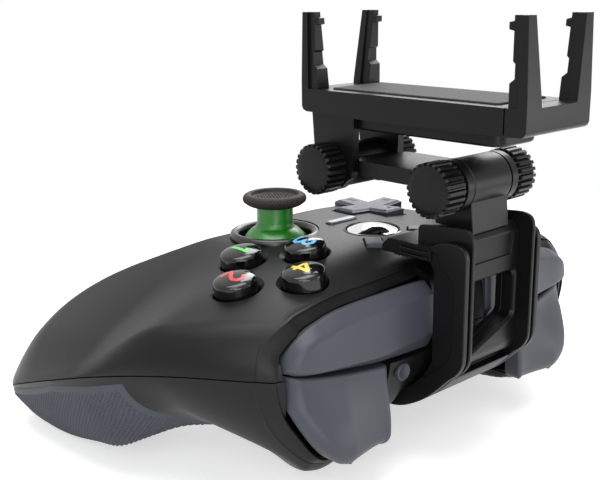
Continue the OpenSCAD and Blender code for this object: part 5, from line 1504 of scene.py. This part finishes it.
floor_paint = bpy.data.materials.new("floor_paint")
floor_paint.use_nodes = True
tree = floor_paint.node_tree
tree.nodes.remove(tree.nodes["Principled BSDF"])
look = direct_look(tree)
matt = add_node(tree, "ShaderNodeBsdfDiffuse", {"Color": (0.8, 0.8, 0.8, 1)})
glow_level = add_node(tree, "ShaderNodeMath", {0: look, 1: FLOOR_GLOW}, operation="MULTIPLY")
glow = add_node(tree, "ShaderNodeEmission", {"Color": WHITE, "Strength": glow_level.outputs[0]})
both = add_node(tree, "ShaderNodeAddShader", {0: matt.outputs[0], 1: glow.outputs[0]})
place = add_node(tree, "ShaderNodeTexCoord").outputs["Object"]
away = add_node(tree, "ShaderNodeVectorMath", {0: place}, operation="LENGTH")
fade = add_node(tree, "ShaderNodeMapRange",
                {"Value": away.outputs["Value"], "From Min": CLEAR_FROM, "From Max": CLEAR_TO},
                interpolation_type="SMOOTHSTEP")
clear = add_node(tree, "ShaderNodeMath", {0: fade.outputs["Result"], 1: look}, operation="MULTIPLY")
white = add_node(tree, "ShaderNodeEmission", {"Color": WHITE, "Strength": 1.0})
mixed = add_node(tree, "ShaderNodeMixShader", {0: clear.outputs[0], 1: both.outputs[0], 2: white.outputs[0]})
tree.links.new(mixed.outputs[0], tree.nodes["Material Output"].inputs["Surface"])
floor_corners = [(a, b, 0) for a, b in rectangle(-FLOOR_HALF, -FLOOR_HALF, FLOOR_HALF, FLOOR_HALF)]
floor = new_piece("floor", (floor_corners, [(0, 1, 2, 3)]), floor_paint)

world = bpy.data.worlds.new("studio")
scene.world = world
world.use_nodes = True
tree = world.node_tree
level = add_node(tree, "ShaderNodeMapRange",
                 {"Value": direct_look(tree), "To Min": WORLD_FILL, "To Max": 1.0})
sky = tree.nodes["Background"]
sky.inputs["Color"].default_value = WHITE
tree.links.new(level.outputs["Result"], sky.inputs["Strength"])


def lamp(name, at, aim, size, power):
    """A square soft lamp that points at a spot, in metres and watts."""
    data = bpy.data.lights.new(name, "AREA")
    data.shape = "SQUARE"
    data.size = size
    data.energy = power
    light = bpy.data.objects.new(name, data)
    light.location = at
    light.rotation_euler = (Vector(aim) - Vector(at)).to_track_quat("-Z", "Y").to_euler()
    scene.collection.objects.link(light)


PAD_AT = (0, 0, 0.04)
lamp("overhead", (0.1, 0.0, 0.8), PAD_AT, 0.6, 6)
lamp("behind", (-0.5, -0.3, 0.55), PAD_AT, 0.5, 5)
lamp("fill", (0.7, 0.5, 0.5), PAD_AT, 0.6, 3)
lamp("low", (0.3, 0.45, 0.03), PAD_AT, 0.3, 1.2)
lamp("glint", (-0.22, 0.3, 0.02), (0.0, 0.05, 0.04), 0.16, 0.35)
print("lamps:", len(bpy.data.lights))

# %% [markdown]
# ## Finishes on the solids that stay
#
# The mechanism inside the casing keeps its solids, each with the finish of its real material.

# %% finishes on the solids
SOLID_FINISH = {"shell": shell_abs, "grip": grip_elastomer, "slate": slate_abs, "gloss": button_acrylic,
                "stick_green": stick_polycarbonate, "stick_rubber": cap_rubber, "chrome": chrome_plate,
                "silver": nickel_paint, "steel": drawn_steel, "board": solder_mask, "cell": cell_laminate,
                "silicone": keypad_silicone, "inner_plastic": inner_acetal, "clip": clip_nylon,
                "pad_rubber": pad_rubber}
for part in frame["record"]["subparts"]:
    solid = frame["nodes"][part["node"]]
    solid.data.materials.clear()
    solid.data.materials.append(SOLID_FINISH[part["material_slot"]])
